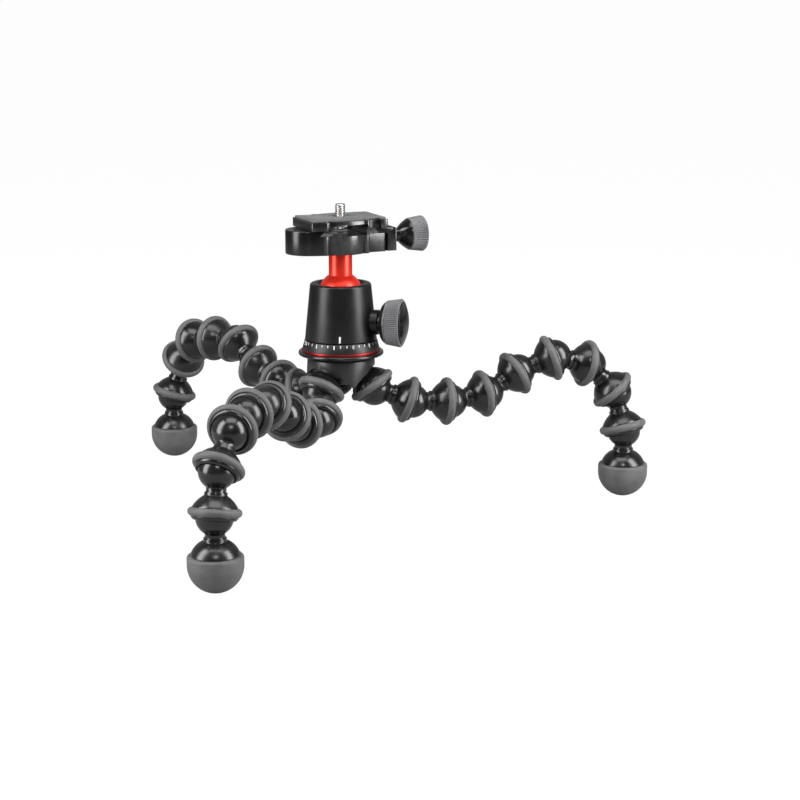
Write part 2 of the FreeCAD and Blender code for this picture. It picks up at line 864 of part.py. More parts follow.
def build_ball_stem():
    """The ball with its stem, bored for the screw that holds the clamp."""
    hole = S.clamp_bolt_radius + S.seat_play
    hole_bottom = S.stem_length - S.clamp_bolt_reach - S.bolt_play
    flat_radius = leg_of(S.head_ball_radius, S.ball_flat_depth)
    shoulder = S.stem_radius + S.stem_bevel
    shoulder_height = leg_of(S.head_ball_radius, shoulder)
    stem = turned("ball_stem", [
        (NIL, -S.ball_flat_depth),
        (flat_radius, -S.ball_flat_depth),
        (shoulder, shoulder_height, S.head_ball_radius),
        (S.stem_radius, shoulder_height + S.stem_bevel),
        (S.stem_radius, S.stem_length),
        (hole, S.stem_length),
        (hole, hole_bottom),
        (NIL, hole_bottom),
    ])
    node("ball_stem", stem, about_axis(0, HEAD_BALL_HEIGHT.value))


def build_clamp():
    """The clamp body with its fixed jaw, the screw that holds it, the sliding jaw and its guides."""
    place = about_axis(S.clamp_heading.value, CLAMP_BOTTOM.value)
    screw_line = S.jaw_screw_height
    centre = primitive("Cylinder", "clamp_centre", {
        "Radius": S.clamp_centre_radius,
        "Height": S.clamp_height,
    })
    lobe = primitive("Cylinder", "clamp_lobe", {
        "Radius": S.clamp_lobe_radius,
        "Height": S.clamp_height,
    })
    lobe.Placement.Base = FreeCAD.Vector(-S.clamp_lobe_reach.value, 0, 0)
    arm = primitive("Box", "clamp_arm", {
        "Length": S.clamp_end,
        "Width": S.clamp_half_width * 2,
        "Height": S.clamp_height,
    })
    arm.Placement.Base = FreeCAD.Vector(0, -S.clamp_half_width.value, 0)
    blank = fuse("clamp_blank", [centre, lobe, arm])

    wall_foot = -(S.dovetail_half_width + S.dovetail_play)
    wall_neck = -(S.dovetail_neck + S.dovetail_play)
    slope_top = S.slot_floor + S.plate_lift + S.dovetail_rise
    open_top = S.clamp_height * CUT_BEYOND
    beyond = S.clamp_end * CUT_BEYOND
    slot = new_body("clamp_slot")
    extrude(slot, "Pad", "XZ_Plane", lambda sketch: draw_outline(sketch, [
        (wall_foot, S.slot_floor),
        (beyond, S.slot_floor),
        (beyond, open_top),
        (wall_neck, open_top),
        (wall_neck, slope_top),
        (wall_foot, S.slot_floor + S.plate_lift),
    ]), S.clamp_centre_radius * 2 * CUT_BEYOND, both_ways=True)

    head_hole = S.clamp_bolt_head_radius + S.bolt_play
    bolt_hole = S.clamp_bolt_radius + S.bolt_play
    bolt_seat = S.slot_floor - S.clamp_bolt_head_length - S.bolt_play
    bolt_bore = turned("clamp_bolt_bore", [
        (NIL, -S.bolt_play),
        (bolt_hole, -S.bolt_play),
        (bolt_hole, bolt_seat),
        (head_hole, bolt_seat),
        (head_hole, open_top),
        (NIL, open_top),
    ])
    lengthwise = heading_vector(0, 0)
    screw_start = S.clamp_bolt_head_radius + S.screw_bore_gap
    screw_bore = primitive("Cylinder", "clamp_screw_bore", {
        "Radius": S.jaw_screw_radius + S.pan_play,
        "Height": S.clamp_end,
    }, along(FreeCAD.Vector(screw_start.value, 0, screw_line.value), lengthwise))
    tools = [slot, bolt_bore, screw_bore]
    bore_start = S.guide_start - S.jaw_gap
    for index, side in enumerate((-1, 1)):
        across = side * S.guide_spread.value
        start = FreeCAD.Vector(bore_start.value, across, S.guide_height.value)
        sizes = {"Radius": S.guide_radius + S.pan_play, "Height": S.clamp_end}
        tools.append(primitive("Cylinder", f"guide_bore_{index}", sizes, along(start, lengthwise)))
    node("clamp_base", cut("clamp_base", blank, tools), place)

    bolt_top = S.slot_floor - S.bolt_play
    key_bottom = bolt_top - S.clamp_bolt_key_depth
    node("clamp_bolt", turned("clamp_bolt", [
        (NIL, -S.clamp_bolt_reach),
        (S.clamp_bolt_radius, -S.clamp_bolt_reach),
        (S.clamp_bolt_radius, bolt_seat),
        (S.clamp_bolt_head_radius, bolt_seat),
        (S.clamp_bolt_head_radius, bolt_top),
        (S.clamp_bolt_key_radius, bolt_top),
        (S.clamp_bolt_key_radius, key_bottom),
        (NIL, key_bottom),
    ]), place)

    jaw_start = S.clamp_end + S.jaw_gap
    tooth_bottom = S.slot_floor + S.plate_lift
    jaw = new_body("jaw_block")
    extrude(jaw, "Pad", "XZ_Plane", lambda sketch: draw_outline(sketch, [
        (jaw_start, S.jaw_foot_lift),
        (S.jaw_end, S.jaw_foot_lift),
        (S.jaw_end, JAW_TOP),
        (-wall_neck, JAW_TOP),
        (-wall_neck, slope_top),
        (-wall_foot, tooth_bottom),
        (jaw_start, tooth_bottom),
    ]), S.clamp_half_width * 2, both_ways=True)
    shaft_hole = primitive("Cylinder", "jaw_screw_hole", {
        "Radius": S.jaw_screw_radius + S.bolt_play,
        "Height": S.jaw_end,
    }, along(FreeCAD.Vector(S.guide_start.value, 0, screw_line.value), lengthwise))
    pins = []
    sockets = []
    for index, side in enumerate((-1, 1)):
        start = FreeCAD.Vector(S.guide_start.value, side * S.guide_spread.value, S.guide_height.value)
        reach = S.jaw_end - S.guide_start - S.cover_wall
        pin = {"Radius": S.guide_radius, "Height": reach}
        hole = {"Radius": S.guide_radius + S.seat_play, "Height": reach + S.seat_play}
        pins.append(primitive("Cylinder", f"guide_pin_{index}", pin, along(start, lengthwise)))
        sockets.append(primitive("Cylinder", f"guide_socket_{index}", hole, along(start, lengthwise)))
    node("clamp_jaw", cut("clamp_jaw", jaw, [shaft_hole] + sockets), place)
    node("guide_pins", group("guide_pins", pins), place)


def build_clamp_knob():
    """The clamp's screw, knob and rubber grip."""
    screw, knob, grip, _ = knob_parts(
        "clamp", S.clamp_knob_gap, S.jaw_end, S.clamp_bolt_head_radius + S.screw_tip_gap,
        S.jaw_screw_radius, (S.clamp_neck_radius, S.clamp_neck_length),
        (S.clamp_cone_radius, S.clamp_cone_length), S.clamp_core_radius,
        (S.clamp_grip_near, S.clamp_grip_radius), S.clamp_grip_length, S.clamp_grip_round)
    centre = FreeCAD.Vector(0, 0, CLAMP_BOTTOM.value + S.jaw_screw_height.value)
    place = along(centre, heading_vector(S.clamp_heading.value, 0))
    for name, body in (("clamp_screw", screw), ("clamp_knob", knob), ("clamp_grip", grip)):
        node(name, body, place)


def rounded_rectangle(sketch, half_length, half_width, corner):
    """A rectangle about the sketch's origin with round corners."""
    inner_length = half_length - corner
    inner_width = half_width - corner
    draw_outline(sketch, [
        (inner_length, -half_width),
        (half_length, -inner_width, corner),
        (half_length, inner_width),
        (inner_length, half_width, corner),
        (-inner_length, half_width),
        (-half_length, inner_width, corner),
        (-half_length, -inner_width),
        (-inner_length, -half_width, corner),
    ])


def build_plate():
    """The quick release plate with its dovetail, the rubber pad, the camera screw and its bail."""
    place = about_axis(S.clamp_heading.value, CLAMP_BOTTOM.value)
    half_length = S.plate_length / 2
    half_width = S.plate_width / 2
    slope_top = DOVETAIL_BOTTOM + S.dovetail_rise
    plate = new_body("plate_blank")
    extrude(plate, "Pad", "XZ_Plane", lambda sketch: draw_outline(sketch, [
        (-S.dovetail_half_width, DOVETAIL_BOTTOM),
        (S.dovetail_half_width, DOVETAIL_BOTTOM),
        (S.dovetail_neck, slope_top),
        (S.dovetail_neck, PLATE_BOTTOM),
        (half_length, PLATE_BOTTOM),
        (half_length, PLATE_TOP),
        (-half_length, PLATE_TOP),
        (-half_length, PLATE_BOTTOM),
        (-S.dovetail_neck, PLATE_BOTTOM),
        (-S.dovetail_neck, slope_top),
    ]), S.plate_width, both_ways=True)
    extrude(plate, "Pocket", "XZ_Plane", lambda sketch: draw_outline(sketch, [
        (-S.channel_half_width, NIL),
        (S.channel_half_width, NIL),
        (S.channel_half_width, CHANNEL_TOP),
        (-S.channel_half_width, CHANNEL_TOP),
    ]), S.plate_width * CUT_BEYOND, both_ways=True)
    outline = new_body("plate_outline")
    extrude(outline, "Pad", "XY_Plane",
            lambda sketch: rounded_rectangle(sketch, half_length, half_width, S.plate_corner), PLATE_TOP)
    trimmed = doc.addObject("Part::Common", "plate_trimmed")
    trimmed.Base = plate
    trimmed.Tool = outline
    hole = primitive("Cylinder", "plate_hole", {"Radius": S.screw_hole_radius, "Height": PAD_TOP})
    node("quick_plate", cut("quick_plate", trimmed, [hole]), place)

    pad = new_body("plate_pad")
    pad_place = about_axis(S.clamp_heading.value, CLAMP_BOTTOM.value + PLATE_TOP.value)
    extrude(pad, "Pad", "XY_Plane", lambda sketch: rounded_rectangle(
        sketch, half_length - S.plate_pad_border, half_width - S.plate_pad_border, S.plate_corner),
        S.plate_pad_thickness)
    extrude(pad, "Pocket", "XY_Plane", lambda sketch: draw_circle(sketch, NIL, NIL, S.pad_hole_radius),
            S.plate_pad_thickness * CUT_BEYOND, both_ways=True)
    node("plate_pad", pad, pad_place)

    head_top = CHANNEL_TOP - S.screw_head_gap
    head_bottom = head_top - S.screw_head_height
    thread_start = PAD_TOP + S.screw_head_gap
    tip = PAD_TOP + S.screw_rise
    bail_height = head_bottom - S.bail_wire - S.bail_play
    shank = turned("camera_screw_shank", [
        (NIL, head_bottom),
        (S.screw_head_radius, head_bottom),
        (S.screw_head_radius, head_top),
        (S.screw_relief_radius, head_top),
        (S.screw_relief_radius, thread_start),
        (S.screw_radius, thread_start),
        (S.screw_radius, tip - S.screw_chamfer),
        (S.screw_radius - S.screw_chamfer, tip),
        (NIL, tip),
    ])
    lug_drop = S.bail_wire * 2 + S.bail_play
    lug = primitive("Box", "camera_screw_lug", {
        "Length": S.lug_half_length * 2,
        "Width": S.lug_half_width * 2,
        "Height": lug_drop + S.screw_head_height / 2,
    })
    lug.Placement.Base = FreeCAD.Vector(
        -S.lug_half_length.value, -S.lug_half_width.value, head_bottom.value - lug_drop.value)
    bore_start = FreeCAD.Vector(-S.bail_radius.value * CUT_BEYOND, 0, bail_height.value)
    bore = primitive("Cylinder", "bail_bore", {
        "Radius": S.bail_wire + S.ball_play,
        "Height": S.bail_radius * 2 * CUT_BEYOND,
    }, along(bore_start, heading_vector(0, 0)))
    lug_bored = cut("lug_bored", lug, [bore])
    node("camera_screw", fuse("camera_screw", [shank, lug_bored]), place)

    bar_start = FreeCAD.Vector(-S.bail_radius.value, 0, bail_height.value)
    bar = primitive("Cylinder", "bail_bar", {"Radius": S.bail_wire, "Height": S.bail_radius * 2},
                    along(bar_start, heading_vector(0, 0)))
    bow = primitive("Torus", "bail_bow", {"Radius1": S.bail_radius, "Radius2": S.bail_wire})
    bow.Angle3 = FULL_TURN / 2
    bow.Placement.Base = FreeCAD.Vector(0, 0, bail_height.value)
    node("screw_bail", fuse("screw_bail", [bar, bow]), place)


def chain_end_drop(pose, tilt):
    """How far a leg's ball joints climb from the hub to the foot, with every link tilted alike."""
    return sum(math.sin(math.radians(climb + tilt)) for _, climb in pose) * S.link_pitch.value


def standing_tilt(pose):
    """The small common tilt of a leg's links that sets its foot on the floor."""
    needed = S.foot_reach.value + S.foot_radius.value - SOCKET_HEIGHT.value
    low, high = -CLIMB_SEARCH, CLIMB_SEARCH
    for _ in range(SEARCH_STEPS):
        middle = (low + high) / 2
        if chain_end_drop(pose, middle) < needed:
            low = middle
        else:
            high = middle
    return (low + high) / 2


def leg_chain(leg_index, pose):
    """The ball centre and direction of every link of a leg, the foot link last."""
    tilt = standing_tilt(pose)
    centre = socket_placement(leg_index).Base
    chain = []
    for heading, climb in pose:
        direction = heading_vector(heading, climb + tilt)
        chain.append((centre, direction))
        centre = centre + direction * S.link_pitch.value
    chain.append((centre, heading_vector(0, FOOT_CLIMB)))
    return chain


def build_legs():
    """Every link and foot of the three legs."""
    link_parts = build_link_parts()
    foot_parts = build_foot_parts()
    for leg_index, (leg, pose) in enumerate(LEG_POSES.items()):
        chain = leg_chain(leg_index, pose)
        for number, (centre, direction) in enumerate(chain[:-1], start=1):
            name = f"{leg}_link_{number}"
            node(name, group(name, link_parts), along(centre, direction))
        centre, direction = chain[-1]
        node(f"{leg}_foot", group(f"{leg}_foot", foot_parts), along(centre, direction))


def centring_shift():
    """The move that brings the floor point under the middle of the whole part to the origin."""
    box = FreeCAD.BoundBox()
    for name, (item, placement) in NODES.items():
        shape = item.Shape.copy()
        shape.Placement = placement
        box.add(shape.optimalBoundingBox(False, False))
    return FreeCAD.Placement(FreeCAD.Vector(-box.Center.x, -box.Center.y, -box.ZMin), FreeCAD.Rotation())


def build():
    """Build every piece, set it in place, check it and write it to the parts folder."""
    build_hub()
    build_pan_base()
    build_housing()
    build_lock_knob()
    build_ball_stem()
    build_clamp()
    build_clamp_knob()
    build_plate()
    build_legs()
    doc.recompute()
    shift = centring_shift()
    for name, (item, placement) in NODES.items():
        item.Label = name
        item.Placement = shift.multiply(placement)
    doc.recompute()
    for item in doc.Objects:
        if {"Invalid", "Error"} & set(item.State):
            raise RuntimeError(f"{item.Name} failed: {item.State}")
    os.makedirs("parts", exist_ok=True)
    for name, (item, _) in NODES.items():
        shape = item.Shape
        if shape.isNull() or not shape.isValid() or not shape.Solids:
            raise RuntimeError(f"{name} has no sound shape")
        shape.exportStep(f"parts/{name}.step")
    return shift


SHIFT = build()
print(f"{len(NODES)} nodes, shift {SHIFT.Base}")
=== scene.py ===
"""Flexible leg tripod with a ball head and a quick release clamp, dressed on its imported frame.

Lengths in the classes are millimetres. Each finished mesh is in metres, in the frame of the solids.
"""

from __future__ import annotations

import json
import logging
import math
from dataclasses import dataclass, field
from enum import Enum
from typing import Iterable, Mapping, Sequence

import bpy
from mathutils import Matrix, Vector

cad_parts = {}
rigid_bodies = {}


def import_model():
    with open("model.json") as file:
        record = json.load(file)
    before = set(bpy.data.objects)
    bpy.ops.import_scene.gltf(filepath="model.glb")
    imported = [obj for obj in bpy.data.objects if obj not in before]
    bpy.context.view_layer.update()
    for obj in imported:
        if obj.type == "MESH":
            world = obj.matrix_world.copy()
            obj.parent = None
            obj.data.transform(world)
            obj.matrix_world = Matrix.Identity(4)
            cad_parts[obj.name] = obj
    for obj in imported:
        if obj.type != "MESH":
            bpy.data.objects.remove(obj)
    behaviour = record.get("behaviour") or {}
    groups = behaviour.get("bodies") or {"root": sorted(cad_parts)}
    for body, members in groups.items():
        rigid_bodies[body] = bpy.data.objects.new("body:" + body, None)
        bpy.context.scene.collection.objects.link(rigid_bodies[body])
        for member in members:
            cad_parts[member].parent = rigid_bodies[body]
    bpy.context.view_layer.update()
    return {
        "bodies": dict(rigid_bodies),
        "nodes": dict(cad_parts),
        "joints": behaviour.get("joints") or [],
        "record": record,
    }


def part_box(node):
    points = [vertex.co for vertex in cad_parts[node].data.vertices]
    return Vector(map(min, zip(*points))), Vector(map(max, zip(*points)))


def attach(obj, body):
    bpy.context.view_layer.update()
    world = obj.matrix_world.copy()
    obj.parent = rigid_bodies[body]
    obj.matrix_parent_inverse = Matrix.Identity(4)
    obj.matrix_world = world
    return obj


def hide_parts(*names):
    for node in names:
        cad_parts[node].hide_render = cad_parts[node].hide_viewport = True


MM = 0.001
TAU = math.tau
QUARTER = math.radians(90.0)
LATHE_STEPS = 72
FINE_STEPS = 96
TOOL_STEPS = 24
WELD = 1e-7
FIT_GAP = 0.02
BAR_BEVEL = 0.2
LEG_SPACING = 120.0
SMOOTH_ANGLE = math.radians(38)
BEVEL_ANGLE = math.radians(28)
BOSS_ANGLE = math.radians(24)
CORNER_ANGLE = math.radians(50)
WHITE = (1.0, 1.0, 1.0, 1.0)

Point = tuple[float, float]
Colour = tuple[float, float, float]
Feeds = Mapping[str | int, object]
Object = bpy.types.Object
log = logging.getLogger("tripod")


class Slot(Enum):
    """The record's material slots, given alongside each dressed piece."""

    LINK = "link_plastic"
    HUB = "hub_plastic"
    LINER = "liner_plastic"
    RUBBER = "grey_rubber"
    BLACK = "black_metal"
    RED = "red_metal"
    STEEL = "bright_steel"


class Heading(Enum):
    """Fixed headings about the hub's upright axis, in degrees from +X towards +Y."""

    LOCK = -12.0
    CLAMP = 24.0
    FIRST_LEG = -7.5
    INDEX = -90.0


# Workshop: the steps that every class shares


def leave_clear() -> None:
    """Return to object mode with nothing selected."""
    active = bpy.context.object
    if active is not None and active.mode != "OBJECT":
        bpy.ops.object.mode_set(mode="OBJECT")
    bpy.ops.object.select_all(action="DESELECT")


def pick(piece: Object) -> None:
    """Select one object alone and make it the active one.

    Args:
        piece: The object that the next operator works on.
    """
    leave_clear()
    piece.select_set(True)
    bpy.context.view_layer.objects.active = piece


def begin_edit(piece: Object, selected: bool = True) -> None:
    """Open one object in edit mode with all or none of it selected.

    Args:
        piece: The object to edit.
        selected: Whether everything starts selected.
    """
    pick(piece)
    bpy.ops.object.mode_set(mode="EDIT")
    bpy.ops.mesh.select_all(action="SELECT" if selected else "DESELECT")


def named(name: str) -> Object:
    """Name the object that an operator has just added.

    Args:
        name: The name of the piece and of its mesh.

    Returns:
        The new object.
    """
    piece = bpy.context.object
    piece.name = name
    piece.data.name = name
    return piece


def start_chain(name: str, first: Vector) -> Object:
    """Begin a chain of points in edit mode, from a small plane merged to one point.

    Args:
        name: The name of the piece.
        first: Where the chain starts, in metres.

    Returns:
        The object, left in edit mode with its only point selected.
    """
    leave_clear()
    bpy.ops.mesh.primitive_plane_add(size=MM)
    piece = named(name)
    bpy.ops.object.mode_set(mode="EDIT")
    bpy.ops.mesh.select_all(action="SELECT")
    bpy.ops.mesh.merge(type="CENTER")
    bpy.ops.transform.translate(value=first)
    return piece


def extend_chain(places: Sequence[Vector]) -> None:
    """Extrude the selected point along a list of places.

    Args:
        places: The points of the chain in metres, the first of which is there already.
    """
    for start, stop in zip(places, places[1:]):
        bpy.ops.mesh.extrude_vertices_move(TRANSFORM_OT_translate={"value": stop - start})


def tidy_faces() -> None:
    """Merge doubled points and turn every face outwards, in edit mode."""
    bpy.ops.mesh.select_all(action="SELECT")
    bpy.ops.mesh.remove_doubles(threshold=WELD)
    bpy.ops.mesh.normals_make_consistent(inside=False)
    bpy.ops.object.mode_set(mode="OBJECT")


def turned(name: str, outline: Sequence[Point], steps: int = LATHE_STEPS) -> Object:
    """Extrude a half section point by point and spin it about +Z.

    Args:
        name: The name of the piece.
        outline: Points as (radius, height), closed on the axis or on its own first point.
        steps: How many flats go round.

    Returns:
        The turned piece, which carries its radius and height as the attribute "turning".
    """
    places = [Vector((radius, 0.0, height)) * MM for radius, height in outline]
    piece = start_chain(name, places[0])
    extend_chain(places)
    bpy.ops.mesh.select_all(action="SELECT")
    bpy.ops.mesh.spin(steps=steps, angle=TAU, center=(0, 0, 0), axis=(0, 0, 1))
    tidy_faces()
    return piece


def mark_turning(piece: Object) -> Object:
    """Store each point's radius and height, in millimetres, for the turning marks.

    Args:
        piece: A piece that is still upright on the origin.

    Returns:
        The same piece.
    """
    marks = piece.data.attributes.new("turning", "FLOAT_VECTOR", "POINT")
    for mark, vertex in zip(marks.data, piece.data.vertices):
        mark.vector = (vertex.co.xy.length / MM, vertex.co.z / MM, 0.0)
    return piece


def extruded(name: str, outline: Sequence[Point], bottom: float, top: float) -> Object:
    """Draw a closed plan point by point, fill it and extrude it upwards.

    Args:
        name: The name of the piece.
        outline: The plan's points as (x, y), without a repeated last point.
        bottom: The height of the lower face.
        top: The height of the upper face.

    Returns:
        The solid piece.
    """
    places = [Vector((x, y, bottom)) * MM for x, y in outline]
    piece = start_chain(name, places[0])
    extend_chain(places + places[:1])
    bpy.ops.mesh.select_all(action="SELECT")
    bpy.ops.mesh.remove_doubles(threshold=WELD)
    bpy.ops.mesh.edge_face_add()
    rise = Vector((0.0, 0.0, (top - bottom) * MM))
    bpy.ops.mesh.extrude_region_move(TRANSFORM_OT_translate={"value": rise})
    tidy_faces()
    return piece


def arc(centre: Point, radius: float, first: float, last: float, steps: int) -> list[Point]:
    """Points along an arc, both ends included.

    Args:
        centre: The arc's centre.
        radius: The arc's radius.
        first: The first angle, in degrees.
        last: The last angle, in degrees.
        steps: How many chords the arc has.

    Returns:
        The points in order.
    """
    angles = [math.radians(first + (last - first) * i / steps) for i in range(steps + 1)]
    return [(centre[0] + radius * math.cos(a), centre[1] + radius * math.sin(a)) for a in angles]


def bow(start: Point, stop: Point, radius: float, steps: int) -> list[Point]:
    """Points along the minor arc between two points, without the first.

    Args:
        start: Where the arc starts.
        stop: Where it stops.
        radius: Its radius, positive when the centre lies left of the way.
        steps: How many chords the arc has.

    Returns:
        The points after the start, up to the stop.
    """
    across = Vector(stop) - Vector(start)
    rise = math.sqrt(max(radius**2 - (across.length / 2) ** 2, 0.0))
    left = Vector((-across.y, across.x)).normalized()
    centre = (Vector(start) + Vector(stop)) / 2 + left * math.copysign(rise, radius)
    first = math.atan2(start[1] - centre.y, start[0] - centre.x)
    last = math.atan2(stop[1] - centre.y, stop[0] - centre.x)
    sweep = (last - first) % TAU if radius > 0 else -((first - last) % TAU)
    spread = math.degrees(sweep)
    begin = math.degrees(first)
    return arc((centre.x, centre.y), abs(radius), begin, begin + spread, steps)[1:]


def refine(piece: Object, kind: str, **settings: object) -> None:
    """Add a modifier, set it and apply it.

    Args:
        piece: The piece to refine.
        kind: Blender's name for the kind of modifier.
        settings: The modifier's settings.
    """
    pick(piece)
    modifier = piece.modifiers.new(kind, kind)
    for key, value in settings.items():
        setattr(modifier, key, value)
    bpy.ops.object.modifier_apply(modifier=modifier.name)


def soften(piece: Object, width: float, segments: int = 2, angle: float = BEVEL_ANGLE) -> Object:
    """Round a piece's sharp edges and shade it smooth between them.

    Args:
        piece: The piece to finish.
        width: The width of each rounded edge.
        segments: How many flats each rounded edge has.
        angle: The least angle of an edge that is rounded, in radians.

    Returns:
        The same piece.
    """
    refine(piece, "BEVEL", width=width * MM, segments=segments, limit_method="ANGLE",
           angle_limit=angle, use_clamp_overlap=True, harden_normals=False)
    return shade(piece)


def shade(piece: Object) -> Object:
    """Shade a piece smooth except across its sharp edges."""
    pick(piece)
    bpy.ops.object.shade_smooth_by_angle(angle=SMOOTH_ANGLE)
    return piece


def carve(piece: Object, tool: Object, operation: str = "DIFFERENCE") -> None:
    """Join one solid to another or take it away, and discard the tool.

    Args:
        piece: The piece that is kept.
        tool: The solid that is used up.
        operation: DIFFERENCE, UNION or INTERSECT.
    """
    refine(piece, "BOOLEAN", object=tool, operation=operation, solver="EXACT")
    bpy.data.objects.remove(tool)


def join(piece: Object, others: Sequence[Object]) -> Object:
    """Join other objects' meshes to one piece.

    Args:
        piece: The piece that is kept.
        others: The objects that become part of it.

    Returns:
        The kept piece.
    """
    pick(piece)
    for other in others:
        other.select_set(True)
    bpy.ops.object.join()
    return piece


def twin(piece: Object, name: str) -> Object:
    """Copy a piece with a mesh of its own.

    Args:
        piece: The piece to copy.
        name: The copy's name.

    Returns:
        The copy, at the same place.
    """
    copy = piece.copy()
    copy.data = piece.data.copy()
    copy.name = name
    copy.data.name = name
    bpy.context.scene.collection.objects.link(copy)
    return copy


def renamed(piece: Object, name: str) -> Object:
    """Give a piece and its mesh a new name."""
    piece.name = name
    piece.data.name = name
    return piece


def moved(piece: Object, matrix: Matrix) -> Object:
    """Move a piece's mesh and leave its object at the origin."""
    piece.data.transform(matrix)
    piece.data.update()
    return piece


def endwise(name: str, profile: Sequence[Point], half_width: float) -> Object:
    """Draw a closed profile seen from the front and extrude it through to the back.

    Args:
        name: The name of the piece.
        profile: The profile's points as (x, z), without a repeated last point.
        half_width: How far the piece reaches to each side of the origin along Y.

    Returns:
        The solid piece.
    """
    piece = extruded(name, profile, -half_width, half_width)
    return moved(piece, Matrix.Rotation(QUARTER, 4, "X"))


def bar(name: str, size: Vector) -> Object:
    """A small block with softened edges, centred on the origin.

    Args:
        name: The name of the piece.
        size: Its three lengths in millimetres.

    Returns:
        The block.
    """
    leave_clear()
    bpy.ops.mesh.primitive_cube_add(size=1.0)
    piece = named(name)
    begin_edit(piece)
    bpy.ops.transform.resize(value=Vector(size) * MM)
    bpy.ops.mesh.bevel(offset=min(size) * MM * BAR_BEVEL, segments=1, affect="EDGES")
    tidy_faces()
    return piece


def lettering(name: str, text: str, size: float, depth: float) -> Object:
    """Raised figures in the XY plane, centred on the origin.

    Args:
        name: The name of the piece.
        text: The figures.
        size: The size of the letters in millimetres.
        depth: How far they stand up from the plane.

    Returns:
        The figures as a mesh.
    """
    leave_clear()
    bpy.ops.object.text_add()
    piece = bpy.context.object
    piece.data.body = text
    piece.data.size = size * MM
    piece.data.extrude = depth * MM
    piece.data.align_x = "CENTER"
    piece.data.align_y = "CENTER"
    piece.data.resolution_u = 4
    bpy.ops.object.convert(target="MESH")
    piece = named(name)
    begin_edit(piece)
    tidy_faces()
    return piece


def sink_columns(piece: Object, count: int, low: float, high: float, least: float,
                 depth: float) -> None:
    """Pull every second upright column of points inwards, so that a turned piece has ribs.

    Args:
        piece: A turned piece whose steps are twice the number of ribs.
        count: How many ribs go round.
        low: The height above which points move.
        high: The height below which points move.
        least: The radius beyond which points move.
        depth: How deep the grooves are.
    """
    begin_edit(piece, selected=False)
    bpy.ops.object.mode_set(mode="OBJECT")
    reach = 0.0
    for vertex in piece.data.vertices:
        place = vertex.co / MM
        radius = place.xy.length
        column = round(math.atan2(place.y, place.x) / TAU * count * 2)
        vertex.select = low < place.z < high and radius > least and column % 2 == 1
        reach = max(reach, radius)
    bpy.ops.object.mode_set(mode="EDIT")
    share = 1.0 - depth / reach
    bpy.ops.transform.resize(value=(share, share, 1.0), center_override=(0.0, 0.0, 0.0))
    bpy.ops.object.mode_set(mode="OBJECT")


def loop(outline: Sequence[Point]) -> list[Point]:
    """Close an outline on its own first point."""
    return [*outline, outline[0]]


def lathe(name: str, outline: Sequence[Point], edge: float, segments: int = 2,
          steps: int = LATHE_STEPS) -> Object:
    """Turn a piece, round its edges and mark its turning.

    Args:
        name: The name of the piece.
        outline: The half section's points as (radius, height).
        edge: The width of each rounded edge.
        segments: How many flats each rounded edge has.
        steps: How many flats go round.

    Returns:
        The finished piece, upright on the origin.
    """
    return mark_turning(soften(turned(name, outline, steps), edge, segments))


def rod(name: str, radius: float, low: float, high: float, steps: int = LATHE_STEPS) -> Object:
    """A plain round tool about +Z."""
    return turned(name, [(0.0, low), (radius, low), (radius, high), (0.0, high)], steps)


def peg(name: str, radius: float, low: float, high: float) -> Object:
    """An upright round tool, drawn as a plan and extruded."""
    last = 360.0 - 360.0 / TOOL_STEPS
    return extruded(name, arc((0.0, 0.0), radius, 0.0, last, TOOL_STEPS - 1), low, high)


def facing(position: Vector, direction: Vector) -> Matrix:
    """The matrix that turns +Z to a direction and moves the origin to a position."""
    turn = Vector((0, 0, 1)).rotation_difference(direction)
    return Matrix.Translation(position) @ turn.to_matrix().to_4x4()


def heading(degrees: float) -> Vector:
    """The level unit vector at a heading."""
    return Vector((math.cos(math.radians(degrees)), math.sin(math.radians(degrees)), 0.0))


# Surface effects that several finishes use


def add_node(tree: bpy.types.NodeTree, kind: str, feeds: Feeds | None = None,
             **settings: object) -> bpy.types.Node:
    """Add a node to a tree, set it and feed its inputs.

    Args:
        tree: The node tree.
        kind: The node's class, without its prefix.
        feeds: What each input takes, either another node's output or a plain value.
        settings: Properties of the node.

    Returns:
        The new node.
    """
    made = tree.nodes.new(f"ShaderNode{kind}")
    for key, value in settings.items():
        setattr(made, key, value)
    for key, value in (feeds or {}).items():
        if isinstance(value, bpy.types.NodeSocket):
            tree.links.new(value, made.inputs[key])
        else:
            made.inputs[key].default_value = value
    return made


@dataclass
class Effect:
    """A shader node group built once, with named inputs and outputs."""

    name: str
    inputs: dict[str, object]
    outputs: dict[str, str]
    tree: bpy.types.NodeTree = field(init=False)
    source: bpy.types.Node = field(init=False)
    target: bpy.types.Node = field(init=False)

    def __post_init__(self) -> None:
        """Make the empty group with its sockets."""
        self.tree = bpy.data.node_groups.new(self.name, "ShaderNodeTree")
        for label, value in self.inputs.items():
            kind = "NodeSocketColor" if isinstance(value, tuple) else "NodeSocketFloat"
            socket = self.tree.interface.new_socket(label, in_out="INPUT", socket_type=kind)
            socket.default_value = value
        for label, kind in self.outputs.items():
            self.tree.interface.new_socket(label, in_out="OUTPUT", socket_type=kind)
        self.source = self.tree.nodes.new("NodeGroupInput")
        self.target = self.tree.nodes.new("NodeGroupOutput")

    def given(self, label: str) -> bpy.types.NodeSocket:
        """The value that one of the group's inputs brings in."""
        return self.source.outputs[label]

    def add(self, kind: str, output: str, feeds: Feeds | None = None,
            **settings: object) -> bpy.types.NodeSocket:
        """Add a node to the group.

        Args:
            kind: The node's class, without its prefix.
            output: The name of the output that is wanted.
            feeds: What each input takes.
            settings: Properties of the node.

        Returns:
            The wanted output.
        """
        return add_node(self.tree, kind, feeds, **settings).outputs[output]

    def give(self, label: str, value: bpy.types.NodeSocket) -> None:
        """Send a value out of the group."""
        self.tree.links.new(value, self.target.inputs[label])


